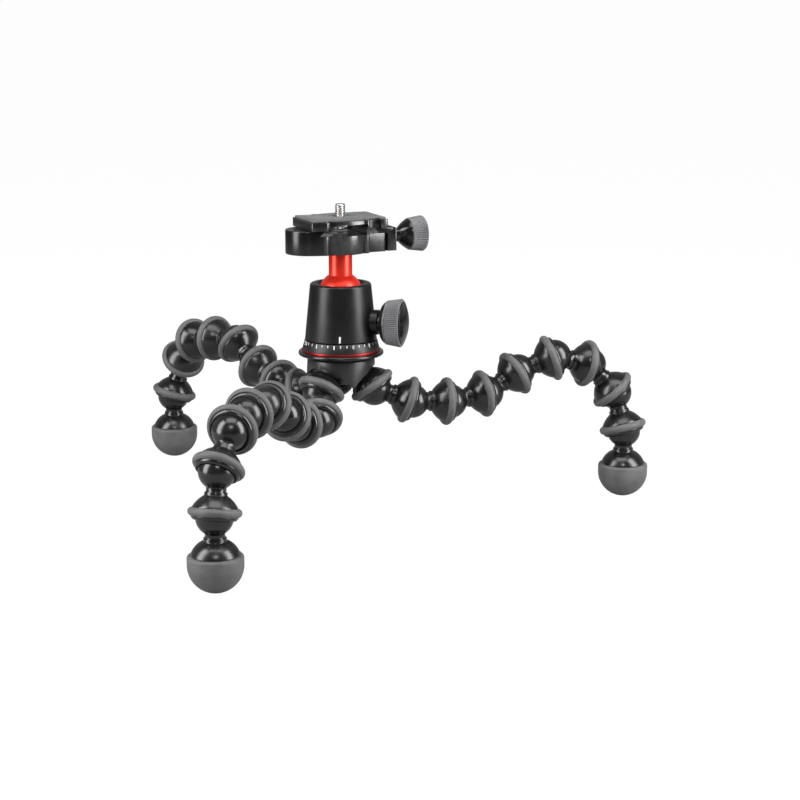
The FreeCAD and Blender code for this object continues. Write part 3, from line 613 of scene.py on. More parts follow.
def grain_effect() -> Effect:
    """Fine moulded or blasted grain with slow patches of tone and gloss.

    Returns:
        The group, which puts out a colour, a roughness and a height.
    """
    effect = Effect(
        "moulded grain",
        {"Colour": WHITE, "Patch Colour": WHITE, "Patch Scale": 60.0, "Grain Scale": 2500.0,
         "Roughness": 0.5, "Roughness Spread": 0.1, "Grain Share": 0.3},
        {"Colour": "NodeSocketColor", "Roughness": "NodeSocketFloat", "Height": "NodeSocketFloat"},
    )
    place = effect.add("TexCoord", "Object")
    patch = effect.add("TexNoise", "Fac", {
        "Vector": place, "Scale": effect.given("Patch Scale"), "Detail": 4.0})
    grain = effect.add("TexNoise", "Fac", {
        "Vector": place, "Scale": effect.given("Grain Scale"), "Detail": 2.0})
    spread = effect.add("MapRange", "Result", {"Value": patch, "From Min": 0.35, "From Max": 0.65})
    effect.give("Colour", effect.add("Mix", "Result", {
        "Factor": spread, "A": effect.given("Colour"), "B": effect.given("Patch Colour"),
    }, data_type="RGBA"))
    effect.give("Roughness", effect.add("Math", "Value", {
        0: spread, 1: effect.given("Roughness Spread"), 2: effect.given("Roughness"),
    }, operation="MULTIPLY_ADD"))
    effect.give("Height", effect.add("Mix", "Result", {
        "Factor": effect.given("Grain Share"), "A": patch, "B": grain}, data_type="FLOAT"))
    return effect


def turning_effect() -> Effect:
    """Fine rings left by a lathe, from a piece's own radius and height.

    Returns:
        The group, which puts out a height.
    """
    effect = Effect("turning marks", {"Rings per mm": 2.0}, {"Height": "NodeSocketFloat"})
    marks = effect.add("Attribute", "Vector", attribute_name="turning")
    parts = add_node(effect.tree, "SeparateXYZ", {"Vector": marks}).outputs
    travel = effect.add("Math", "Value", {0: parts["X"], 1: parts["Y"]}, operation="ADD")
    scaled = effect.add("Math", "Value", {0: travel, 1: effect.given("Rings per mm")},
                        operation="MULTIPLY")
    effect.give("Height", effect.add("TexNoise", "Fac", {
        "W": scaled, "Scale": 1.0, "Detail": 3.0}, noise_dimensions="1D"))
    return effect


def wear_effect() -> Effect:
    """A lighter tone along convex edges, broken up by noise: partly scuffing, partly a painted
    highlight where the edges catch the light.

    Returns:
        The group, which puts out a colour.
    """
    effect = Effect(
        "painted edge highlight and scuffs", {"Colour": WHITE, "Scuffed and Lit Colour": WHITE, "Amount": 0.5},
        {"Colour": "NodeSocketColor"})
    shape = effect.add("NewGeometry", "Pointiness")
    edges = effect.add("MapRange", "Result", {"Value": shape, "From Min": 0.53, "From Max": 0.62})
    noise = effect.add("TexNoise", "Fac", {
        "Vector": effect.add("TexCoord", "Object"), "Scale": 350.0, "Detail": 5.0})
    broken = effect.add("Math", "Value", {0: edges, 1: noise}, operation="MULTIPLY")
    amount = effect.add("Math", "Value", {0: broken, 1: effect.given("Amount")},
                        operation="MULTIPLY", use_clamp=True)
    effect.give("Colour", effect.add("Mix", "Result", {
        "Factor": amount, "A": effect.given("Colour"), "B": effect.given("Scuffed and Lit Colour"),
    }, data_type="RGBA"))
    return effect


@dataclass(frozen=True)
class Finish:
    """One surface finish, from its colours, its gloss and its relief."""

    name: str
    colour: Colour
    patch: Colour
    roughness: float
    spread: float
    metallic: float = 0.0
    patch_scale: float = 60.0
    grain_scale: float = 2500.0
    grain_share: float = 0.5
    relief: float = 0.05
    relief_depth: float = 0.02
    rings: float = 0.0
    ring_depth: float = 0.0
    # The lighter edge colour and its amount: partly real scuffing, partly a painted highlight along
    # convex edges.
    worn: Colour = (0.2, 0.2, 0.2)
    wear: float = 0.0
    sheen: float = 0.0

    def make(self, effects: dict[str, Effect]) -> bpy.types.Material:
        """Build the material.

        Args:
            effects: The shared node groups by name.

        Returns:
            The material.
        """
        material = bpy.data.materials.new(self.name)
        material.use_nodes = True
        tree = material.node_tree
        shader = tree.nodes["Principled BSDF"]
        shader.inputs["Metallic"].default_value = self.metallic
        shader.inputs["Sheen Weight"].default_value = self.sheen
        grain = add_node(tree, "Group", node_tree=effects["grain"].tree)
        for label, value in {
            "Colour": (*self.colour, 1.0), "Patch Colour": (*self.patch, 1.0),
            "Patch Scale": self.patch_scale, "Grain Scale": self.grain_scale,
            "Roughness": self.roughness, "Roughness Spread": self.spread,
            "Grain Share": self.grain_share,
        }.items():
            grain.inputs[label].default_value = value
        colour = grain.outputs["Colour"]
        # Convex edges are lightened here: partly scuffing, partly a painted highlight.
        if self.wear:
            colour = add_node(tree, "Group", {
                "Colour": colour, "Scuffed and Lit Colour": (*self.worn, 1.0), "Amount": self.wear,
            }, node_tree=effects["wear"].tree).outputs["Colour"]
        depth = self.relief_depth * MM
        normal = add_node(tree, "Bump", {
            "Strength": self.relief, "Distance": depth, "Height": grain.outputs["Height"],
        }).outputs["Normal"]
        if self.rings:
            lathe_marks = add_node(tree, "Group", {"Rings per mm": self.rings},
                                   node_tree=effects["turning"].tree)
            normal = add_node(tree, "Bump", {
                "Strength": self.ring_depth, "Distance": depth,
                "Height": lathe_marks.outputs["Height"], "Normal": normal,
            }).outputs["Normal"]
        tree.links.new(colour, shader.inputs["Base Color"])
        tree.links.new(grain.outputs["Roughness"], shader.inputs["Roughness"])
        tree.links.new(normal, shader.inputs["Normal"])
        return material


class FinishName(Enum):
    """The finishes of the tripod, each with its values."""

    GLOSS_POLYMER = Finish(
        "gloss_polymer", (0.0055, 0.0055, 0.006), (0.009, 0.009, 0.0095), 0.20, 0.10,
        patch_scale=90.0, grain_scale=1800.0, grain_share=0.4, relief=0.2, relief_depth=0.03,
        worn=(0.04, 0.04, 0.04), wear=0.3)
    SATIN_POLYMER = Finish(
        "satin_polymer", (0.008, 0.008, 0.0085), (0.013, 0.013, 0.0135), 0.32, 0.10,
        patch_scale=70.0, grain_scale=2600.0, grain_share=0.8, relief=0.35, relief_depth=0.04,
        worn=(0.06, 0.06, 0.06), wear=0.4)
    LINER_POLYMER = Finish(
        "liner_polymer", (0.005, 0.005, 0.005), (0.009, 0.009, 0.009), 0.62, 0.12,
        grain_share=0.8, relief=0.3, relief_depth=0.03)
    RING_RUBBER = Finish(
        "ring_rubber", (0.058, 0.058, 0.060), (0.084, 0.084, 0.086), 0.54, 0.16,
        patch_scale=130.0, grain_scale=3200.0, grain_share=0.75, relief=0.5, relief_depth=0.06,
        worn=(0.12, 0.12, 0.12), wear=0.5, sheen=0.06)
    GRIP_RUBBER = Finish(
        "grip_rubber", (0.078, 0.078, 0.083), (0.110, 0.110, 0.116), 0.50, 0.14,
        patch_scale=120.0, grain_scale=3000.0, grain_share=0.8, relief=0.4, relief_depth=0.05,
        worn=(0.18, 0.18, 0.18), wear=0.6, sheen=0.05)
    PAD_RUBBER = Finish(
        "pad_rubber", (0.060, 0.060, 0.062), (0.085, 0.085, 0.087), 0.62, 0.12,
        patch_scale=100.0, grain_scale=2800.0, grain_share=0.8, relief=0.5, relief_depth=0.05,
        worn=(0.15, 0.15, 0.15), wear=0.5, sheen=0.05)
    BLACK_ANODISE = Finish(
        "black_anodise", (0.021, 0.021, 0.022), (0.029, 0.029, 0.030), 0.31, 0.07, metallic=0.85,
        patch_scale=40.0, grain_scale=4000.0, grain_share=0.8, relief=0.12, relief_depth=0.02,
        rings=3.0, ring_depth=0.10, worn=(0.22, 0.22, 0.22), wear=0.3)
    BLACK_COAT = Finish(
        "black_coat", (0.012, 0.012, 0.013), (0.018, 0.018, 0.019), 0.34, 0.10, metallic=0.5,
        patch_scale=50.0, grain_scale=4000.0, grain_share=0.8, relief=0.2, relief_depth=0.02,
        worn=(0.20, 0.20, 0.20), wear=0.4)
    BLACK_GLOSS = Finish(
        "black_gloss", (0.010, 0.010, 0.011), (0.016, 0.016, 0.017), 0.12, 0.08, metallic=0.4,
        patch_scale=60.0, grain_scale=3500.0, grain_share=0.6, relief=0.1, relief_depth=0.02,
        rings=3.0, ring_depth=0.08, worn=(0.25, 0.25, 0.25), wear=0.4)
    BLACK_POLISH = Finish(
        "black_polish", (0.024, 0.024, 0.025), (0.033, 0.033, 0.034), 0.19, 0.07, metallic=0.85,
        patch_scale=50.0, grain_scale=4000.0, grain_share=0.8, relief=0.1, relief_depth=0.02,
        worn=(0.35, 0.35, 0.35), wear=0.8)
    RED_ANODISE = Finish(
        "red_anodise", (0.80, 0.028, 0.014), (0.88, 0.040, 0.020), 0.30, 0.07, metallic=0.55,
        patch_scale=40.0, grain_scale=4000.0, grain_share=0.8, relief=0.1, relief_depth=0.02,
        rings=3.0, ring_depth=0.12, worn=(0.85, 0.12, 0.08), wear=0.4)
    # The accent ring's own deep red, darkened further as painted shade from the flange and the
    # scale ring that close round it.
    RED_RING = Finish(
        "red_ring", (0.22, 0.008, 0.010), (0.28, 0.012, 0.013), 0.30, 0.08, metallic=0.8,
        patch_scale=60.0, grain_scale=4000.0, grain_share=0.8, relief=0.1, relief_depth=0.02,
        rings=4.0, ring_depth=0.12, worn=(0.70, 0.08, 0.05), wear=0.4)
    STEEL = Finish(
        "turned_steel", (0.46, 0.45, 0.44), (0.55, 0.54, 0.53), 0.24, 0.10, metallic=1.0,
        patch_scale=150.0, grain_scale=3000.0, grain_share=0.6, relief=0.15, relief_depth=0.02,
        rings=4.0, ring_depth=0.15, worn=(0.85, 0.84, 0.82), wear=0.5)
    PLAIN_ALUMINIUM = Finish(
        "plain_aluminium", (0.52, 0.52, 0.53), (0.60, 0.60, 0.61), 0.32, 0.10, metallic=1.0,
        patch_scale=80.0, grain_scale=3000.0, grain_share=0.6, relief=0.2, relief_depth=0.02)
    PRINT = Finish(
        "white_print", (0.60, 0.60, 0.59), (0.50, 0.50, 0.49), 0.50, 0.10,
        patch_scale=600.0, grain_scale=5000.0, grain_share=0.7, relief=0.2, relief_depth=0.01)


@dataclass
class Paintshop:
    """Every material, made once."""

    materials: dict[FinishName, bpy.types.Material] = field(default_factory=dict)

    def __post_init__(self) -> None:
        """Build the shared effects and then each finish."""
        effects = {"grain": grain_effect(), "turning": turning_effect(), "wear": wear_effect()}
        for finish in FinishName:
            self.materials[finish] = finish.value.make(effects)

    def coat(self, piece: Object, finish: FinishName) -> None:
        """Give a piece or a solid's own object one finish all over."""
        piece.data.materials.clear()
        piece.data.materials.append(self.materials[finish])


@dataclass
class Bench:
    """What every sub-assembly needs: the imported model, the finishes and the hub's place."""

    frame: dict
    paint: Paintshop
    hub: Vector = field(init=False)

    def __post_init__(self) -> None:
        """Find the hub's upright axis from the head's turning joint."""
        pivot = self.joint("pan_turn")
        self.hub = Vector((pivot.x, pivot.y, 0.0))

    def joint(self, name: str) -> Vector:
        """The place of a joint, in metres."""
        row = next(joint for joint in self.frame["joints"] if joint["name"] == name)
        return Vector(row["pos_m"])

    def low(self, node: str) -> float:
        """The lowest height of a solid, in millimetres."""
        return Vector(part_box(node)[0]).z / MM

    def high(self, node: str) -> float:
        """The greatest height of a solid, in millimetres."""
        return Vector(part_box(node)[1]).z / MM

    def upright(self, height: float = 0.0, degrees: float = 0.0) -> Matrix:
        """The hub axis at a height in millimetres, turned by a heading."""
        lift = Matrix.Translation(self.hub + Vector((0.0, 0.0, height * MM)))
        return lift @ Matrix.Rotation(math.radians(degrees), 4, "Z")

    def fit(self, piece: Object, body: str, nodes: Sequence[str], slot: Slot,
            finish: FinishName) -> None:
        """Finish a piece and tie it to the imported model.

        Args:
            piece: The piece, in its place.
            body: The body that it rides on.
            nodes: The solids that it stands for.
            slot: The record's slot for the piece. It is not used.
            finish: Its finish.
        """
        self.paint.coat(piece, finish)
        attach(piece, body)
        if nodes:
            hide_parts(*nodes)
        log.info("%s rides on %s", piece.name, body)

    def keep(self, node: str, finish: FinishName) -> None:
        """Keep a solid as it is, with a better finish."""
        self.paint.coat(self.frame["nodes"][node], finish)
        log.info("%s keeps its solid", node)


@dataclass
class LinkShape:
    """One ball link of a leg, upright, with its own ball centred on the origin."""

    ball_radius: float = 10.5
    cavity_radius: float = 11.37
    grip_past_centre: float = 1.9
    pitch: float = 24.6
    neck_radius: float = 5.5
    collar_radius: float = 6.3
    collar_start: float = 11.3
    collar_end: float = 13.1
    dome_radius: float = 12.6
    dome_curve: float = 18.0
    ring_back: float = -4.8
    ring_front: float = -0.2
    ring_seat: float = 12.2
    ring_shoulder: float = 13.1
    ring_round: float = 2.4
    ring_edge: float = 0.25
    lip_radius: float = 12.9
    lip_curve: float = 2.6
    edge_round: float = 0.32
    liner_recess: float = 0.45
    liner_depth: float = 6.0
    liner_play: float = 0.05
    foot_rim: float = 21.0
    foot_reach: float = 26.5
    foot_radius: float = 15.5
    foot_wall: float = 3.1
    foot_round: float = 1.6
    foot_edge: float = 0.2
    foot_lap: float = 0.5
    foot_dome_radius: float = 13.6
    foot_dome_curve: float = 12.0

    def ball(self) -> list[Point]:
        """The half section of the ball, its neck and its collar."""
        neck = (self.neck_radius, math.sqrt(self.ball_radius**2 - self.neck_radius**2))
        pole = (0.0, -self.ball_radius)
        return [
            pole,
            *bow(pole, neck, self.ball_radius, steps=16),
            (self.neck_radius, self.collar_start),
            (self.collar_radius, self.collar_start),
            (self.collar_radius, self.collar_end),
        ]

    def socket(self, start: Point, centre: float) -> list[Point]:
        """The half section of a socket after a start point, up to the pole of its cavity.

        Args:
            start: Where the dome begins.
            centre: The height of the socket's centre.

        Returns:
            The points after the start.
        """
        back = (self.dome_radius, centre + self.ring_back)
        mouth = math.sqrt(self.cavity_radius**2 - self.grip_past_centre**2)
        lip = (self.lip_radius, centre + self.ring_front)
        edge = (mouth, centre + self.grip_past_centre)
        return [
            *bow(start, back, self.dome_curve, steps=8),
            (self.ring_seat, back[1]),
            (self.ring_seat, lip[1]),
            lip,
            *bow(lip, edge, self.lip_curve, steps=5),
            *bow(edge, (0.0, centre - self.cavity_radius), -self.cavity_radius, steps=14),
        ]

    def shell(self, name: str) -> Object:
        """The moulded link."""
        ball = self.ball()
        return lathe(name, ball + self.socket(ball[-1], self.pitch), self.edge_round)

    def hub_shell(self, name: str, root: float) -> Object:
        """A socket of the hub, centred on the origin, from its root outwards.

        Args:
            name: The name of the piece.
            root: How far behind the centre it starts.

        Returns:
            The socket.
        """
        start = (self.collar_radius, self.collar_end - self.pitch)
        outline = [(0.0, -root), (self.collar_radius, -root), start, *self.socket(start, 0.0)]
        return lathe(name, outline, self.edge_round)

    def ring(self, name: str, centre: float) -> Object:
        """The rubber ring round a socket.

        Args:
            name: The name of the piece.
            centre: The height of the socket's centre.

        Returns:
            The ring.
        """
        back, front = centre + self.ring_back + FIT_GAP, centre + self.ring_front - FIT_GAP
        inner = self.ring_seat + FIT_GAP
        shoulder = (self.ring_shoulder, back)
        crown = bow(shoulder, (self.ring_shoulder, front), self.ring_round, steps=10)
        return lathe(name, loop([(inner, back), shoulder, *crown, (inner, front)]), self.ring_edge)

    def liner(self, name: str, centre: float) -> Object:
        """The friction liner's visible band, just inside the mouth of a socket.

        Args:
            name: The name of the piece.
            centre: The height of the socket's centre.

        Returns:
            The liner.
        """
        top = centre + self.grip_past_centre - self.liner_recess
        low = centre - self.liner_depth
        outer, inner = self.cavity_radius - FIT_GAP, self.ball_radius + self.liner_play
        rise = self.grip_past_centre - self.liner_recess
        first = (math.sqrt(outer**2 - self.liner_depth**2), low)
        second = (math.sqrt(outer**2 - rise**2), top)
        third = (math.sqrt(inner**2 - rise**2), top)
        fourth = (math.sqrt(inner**2 - self.liner_depth**2), low)
        outline = [first, *bow(first, second, outer, steps=6), third,
                   *bow(third, fourth, -inner, steps=6)]
        return mark_turning(shade(turned(name, loop(outline))))

    def foot_shell(self, name: str) -> Object:
        """The moulded end link."""
        ball = self.ball()
        core = self.foot_radius - self.foot_wall
        dome = bow(ball[-1], (self.foot_dome_radius, self.foot_rim), self.foot_dome_curve, steps=10)
        outline = [*ball, *dome, (core, self.foot_rim), (core, self.foot_reach),
                   (0.0, self.foot_reach)]
        return lathe(name, outline, self.edge_round)

    def foot_cap(self, name: str) -> Object:
        """The rubber cap over the end link, with a rounded rim."""
        inner = self.foot_radius - self.foot_wall + FIT_GAP
        rim = self.foot_rim + FIT_GAP
        shoulder = (self.foot_radius - self.foot_round, rim)
        side = (self.foot_radius, rim + self.foot_round)
        low = (self.foot_radius, self.foot_reach)
        pole = (0.0, self.foot_reach + self.foot_radius)
        lap = self.foot_reach + self.foot_lap
        outline = [(inner, rim), shoulder, *bow(shoulder, side, self.foot_round, steps=5), low,
                   *bow(low, pole, self.foot_radius, steps=18), (0.0, lap), (inner, lap)]
        return lathe(name, loop(outline), self.foot_edge)


@dataclass
class Legs:
    """The three legs, each of eight links and a foot."""

    bench: Bench
    shape: LinkShape = field(default_factory=LinkShape)
    names: tuple[str, ...] = ("right", "rear", "front")
    links: int = 8

    def build(self) -> None:
        """Model each kind of piece once and copy it along every leg."""
        shape = self.shape
        kinds = [
            ("shell", shape.shell("link_shell"), Slot.LINK, FinishName.GLOSS_POLYMER),
            ("ring", shape.ring("link_ring", shape.pitch), Slot.RUBBER, FinishName.RING_RUBBER),
            ("liner", shape.liner("link_liner", shape.pitch), Slot.LINER, FinishName.LINER_POLYMER),
        ]
        feet = [
            ("shell", shape.foot_shell("foot_shell"), Slot.LINK, FinishName.GLOSS_POLYMER),
            ("cap", shape.foot_cap("foot_cap"), Slot.RUBBER, FinishName.RING_RUBBER),
        ]
        for leg in self.names:
            centres = [self.bench.joint(f"{leg}_bend_{i}") for i in range(1, self.links + 2)]
            for number, (here, beyond) in enumerate(zip(centres, centres[1:]), start=1):
                place = facing(here, (beyond - here).normalized())
                self.set_pieces(kinds, f"{leg}_link_{number}", f"{leg}_{number}", place)
            place = facing(centres[-1], Vector((0.0, 0.0, -1.0)))
            self.set_pieces(feet, f"{leg}_foot", f"{leg}_end", place)
        for _, pattern, _, _ in kinds + feet:
            bpy.data.objects.remove(pattern)

    def set_pieces(self, kinds: Iterable[tuple[str, Object, Slot, FinishName]], node: str,
                   body: str, place: Matrix) -> None:
        """Copy the pieces of one link into place.

        Args:
            kinds: Each piece's ending, pattern, slot and finish.
            node: The solid that the pieces stand for.
            body: The body that they ride on.
            place: Where the link stands.
        """
        for ending, pattern, slot, finish in kinds:
            piece = moved(twin(pattern, f"{node}_{ending}"), place)
            self.bench.fit(piece, body, [node], slot, finish)


@dataclass
class Hub:
    """The hub's core, sockets and skirted cover."""

    bench: Bench
    shape: LinkShape = field(default_factory=LinkShape)
    top: float = 96.4
    socket_dip: float = 54.0
    socket_root: float = 16.5
    column_radius: float = 18.5
    column_drop: float = 15.4
    column_chamfer: float = 5.0
    column_edge: float = 0.6
    cover_radius: float = 20.5
    cover_flare: float = 0.8
    cover_wall: float = 1.6
    cover_round: float = 1.6
    cover_chamfer: float = 2.0
    cover_edge: float = 0.35
    cover_drop: float = 19.0
    arch_radius: float = 20.0
    arch_drop: float = 25.1
    arch_length: float = 50.0
    arch_reach: float = 26.0
    bolt_hole: float = 4.96

    def build(self) -> None:
        """Build the sockets, the column and the cover."""
        shape, bench = self.shape, self.bench
        kinds = [
            ("socket", shape.hub_shell("hub_socket", self.socket_root), "hub_core", Slot.HUB,
             FinishName.GLOSS_POLYMER),
            ("ring", shape.ring("hub_ring", 0.0), "hub_rings", Slot.RUBBER, FinishName.RING_RUBBER),
            ("liner", shape.liner("hub_liner", 0.0), "hub_liners", Slot.LINER,
             FinishName.LINER_POLYMER),
        ]
        dip = math.radians(self.socket_dip)
        for leg, level in zip(("right", "rear", "front"), self.leg_headings()):
            direction = level * math.cos(dip) - Vector((0.0, 0.0, math.sin(dip)))
            place = facing(bench.joint(f"{leg}_bend_1"), direction)
            for ending, pattern, node, slot, finish in kinds:
                piece = moved(twin(pattern, f"hub_{ending}_{leg}"), place)
                bench.fit(piece, "stand", [node], slot, finish)
        for _, pattern, *_ in kinds:
            bpy.data.objects.remove(pattern)
        bench.fit(self.column(), "stand", ["hub_core"], Slot.HUB, FinishName.SATIN_POLYMER)
        bench.fit(self.cover(), "stand", ["hub_cover"], Slot.HUB, FinishName.SATIN_POLYMER)
        bench.keep("hub_pad", FinishName.RING_RUBBER)
        bench.keep("head_bolt", FinishName.STEEL)

    def leg_headings(self) -> list[Vector]:
        """The level directions in which the three legs leave the hub."""
        return [heading(Heading.FIRST_LEG.value + index * LEG_SPACING) for index in range(3)]

    def column(self) -> Object:
        """The core's round middle, bored for the head's bolt."""
        low, high = self.top - self.column_drop, self.top - self.cover_wall
        radius, chamfer = self.column_radius, self.column_chamfer
        outline = [(self.bolt_hole, high), (self.bolt_hole, low), (radius - chamfer, low),
                   (radius, low + chamfer), (radius, high)]
        piece = lathe("hub_column", loop(outline), self.column_edge, segments=3)
        return moved(piece, self.bench.upright())

    def cover(self) -> Object:
        """The thin bell over the core, cut by an arch above each socket."""
        inner = self.cover_radius - self.cover_wall
        low, roof = self.top - self.cover_drop, self.top - self.cover_wall
        shoulder = (self.cover_radius, self.top - self.cover_round)
        rim = (self.cover_radius - self.cover_round, self.top)
        outline = [
            (self.bolt_hole, self.top), (self.bolt_hole, roof), (inner - self.cover_chamfer, roof),
            (inner, roof - self.cover_chamfer), (inner + self.cover_flare, low),
            (self.cover_radius + self.cover_flare, low), shoulder,
            *bow(shoulder, rim, self.cover_round, steps=4),
        ]
        bell = turned("hub_bell", loop(outline), FINE_STEPS)
        for level in self.leg_headings():
            leave_clear()
            bpy.ops.mesh.primitive_cylinder_add(
                vertices=FINE_STEPS, radius=self.arch_radius * MM, depth=self.arch_length * MM)
            drop = Vector((0.0, 0.0, (self.top - self.arch_drop) * MM))
            centre = drop + level * (self.arch_reach * MM)
            carve(bell, moved(named("arch_tool"), facing(centre, level)))
        return moved(mark_turning(soften(bell, self.cover_edge)), self.bench.upright())


@dataclass
class PanBase:
    """The fixed base that the head turns on, with its red ring and its degree scale."""

    bench: Bench
    thread: float = 4.78
    flange_radius: float = 25.9
    flange_round: float = 1.3
    rim_low: float = 0.25
    rim_high: float = 0.1
    land: float = 0.6
    boss_radius: float = 21.6
    boss_drop: float = 0.4
    spigot_radius: float = 9.0
    accent_radius: float = 23.7
    scale_radius: float = 23.5
    scale_taper: float = 1.5
    edge_round: float = 0.22
    tick_step: int = 10
    long_step: int = 30
    number_step: int = 90
    first_number: float = -69.0
    short_tick: tuple[float, float] = (0.5, 1.4)
    long_tick: tuple[float, float] = (0.75, 2.3)
    tick_drop: float = 0.35
    print_height: float = 0.06
    number_size: float = 2.9
    number_drop: float = 1.5

    def build(self) -> None:
        """Build the flange, the two rings and the printed scale."""
        bench = self.bench
        bench.fit(self.flange(), "stand", ["pan_base"], Slot.BLACK, FinishName.BLACK_GLOSS)
        accent = self.band("pan_accent", "accent_ring", self.accent_radius, 0.0)
        bench.fit(accent, "stand", ["accent_ring"], Slot.RED, FinishName.RED_RING)
        scale = self.band("pan_scale", "scale_ring", self.scale_radius, self.scale_taper)
        bench.fit(scale, "stand", ["scale_ring"], Slot.BLACK, FinishName.BLACK_COAT)
        bench.fit(self.ticks(), "stand", [], Slot.BLACK, FinishName.PRINT)
        bench.fit(self.numbers(), "stand", [], Slot.BLACK, FinishName.PRINT)
        bench.keep("pan_washer", FinishName.LINER_POLYMER)
        bench.keep("pan_retainer", FinishName.STEEL)

    def flange(self) -> Object:
        """The round base with its full-round rim."""
        low, high = self.bench.low("pan_base"), self.bench.high("pan_base")
        rim = self.bench.low("accent_ring")
        boss = self.bench.high("scale_ring") - self.boss_drop
        half = (rim - low - (self.rim_low + self.rim_high)) / 2
        edge = self.flange_radius - self.flange_round + math.sqrt(self.flange_round**2 - half**2)
        start, stop = (edge, low + self.rim_low), (edge, rim - self.rim_high)
        outline = [(self.thread, low), (self.boss_radius, low), start,
                   *bow(start, stop, self.flange_round, steps=10),
                   (self.accent_radius + self.land, rim), (self.boss_radius, rim),
                   (self.boss_radius, boss), (self.spigot_radius, boss),
                   (self.spigot_radius, high), (self.thread, high)]
        return self.finished("pan_flange", outline)

    def band(self, name: str, node: str, radius: float, taper: float) -> Object:
        """A ring round the base's boss, as high as a solid.

        Args:
            name: The name of the piece.
            node: The solid that it stands for.
            radius: Its outer radius at the foot.
            taper: How much narrower it is at the top.

        Returns:
            The ring.
        """
        low, high = self.bench.low(node), self.bench.high(node)
        inner = self.boss_radius + FIT_GAP
        outline = [(inner, low), (radius, low), (radius - taper, high), (inner, high)]
        return self.finished(name, outline)

    def finished(self, name: str, outline: Sequence[Point]) -> Object:
        """Turn, soften and place one ring."""
        piece = lathe(name, loop(outline), self.edge_round, steps=FINE_STEPS)
        return moved(piece, self.bench.upright())

    def on_scale(self, height: float, degrees: float) -> Matrix:
        """Where a mark lies flat on the scale, at a height and a heading.

        Args:
            height: The height of the mark's middle, in millimetres.
            degrees: Its heading.

        Returns:
            The matrix that brings the mark from the origin, with its face along +X, to its place.
        """
        low, high = self.bench.low("scale_ring"), self.bench.high("scale_ring")
        lean = math.atan2(self.scale_taper, high - low)
        radius = self.scale_radius - self.scale_taper * (height - low) / (high - low)
        out = Matrix.Translation(Vector((radius, 0.0, height)) * MM)
        return self.bench.upright(0.0, degrees) @ out @ Matrix.Rotation(-lean, 4, "Y")

    def ticks(self) -> Object:
        """The printed lines, with room for a figure at every quarter turn."""
        top = self.bench.high("scale_ring") - self.tick_drop
        marks = []
        for step in range(0, 360, self.tick_step):
            if step % self.number_step == 0:
                continue
            width, length = self.long_tick if step % self.long_step == 0 else self.short_tick
            mark = bar("tick", Vector((self.print_height * 2, width, length)))
            marks.append(moved(mark, self.on_scale(top - length / 2, self.first_number + step)))
        return renamed(join(marks[0], marks[1:]), "pan_ticks")

    def numbers(self) -> Object:
        """The printed figures at the quarter turns."""
        height = self.bench.high("scale_ring") - self.number_drop
        stand = Matrix.Rotation(QUARTER, 4, "Z") @ Matrix.Rotation(QUARTER, 4, "X")
        figures = []
        for degrees in range(0, 360, self.number_step):
            figure = lettering("figure", str(degrees), self.number_size, self.print_height)
            place = self.on_scale(height, self.first_number + degrees) @ stand
            figures.append(moved(figure, place))
        return renamed(join(figures[0], figures[1:]), "pan_numbers")


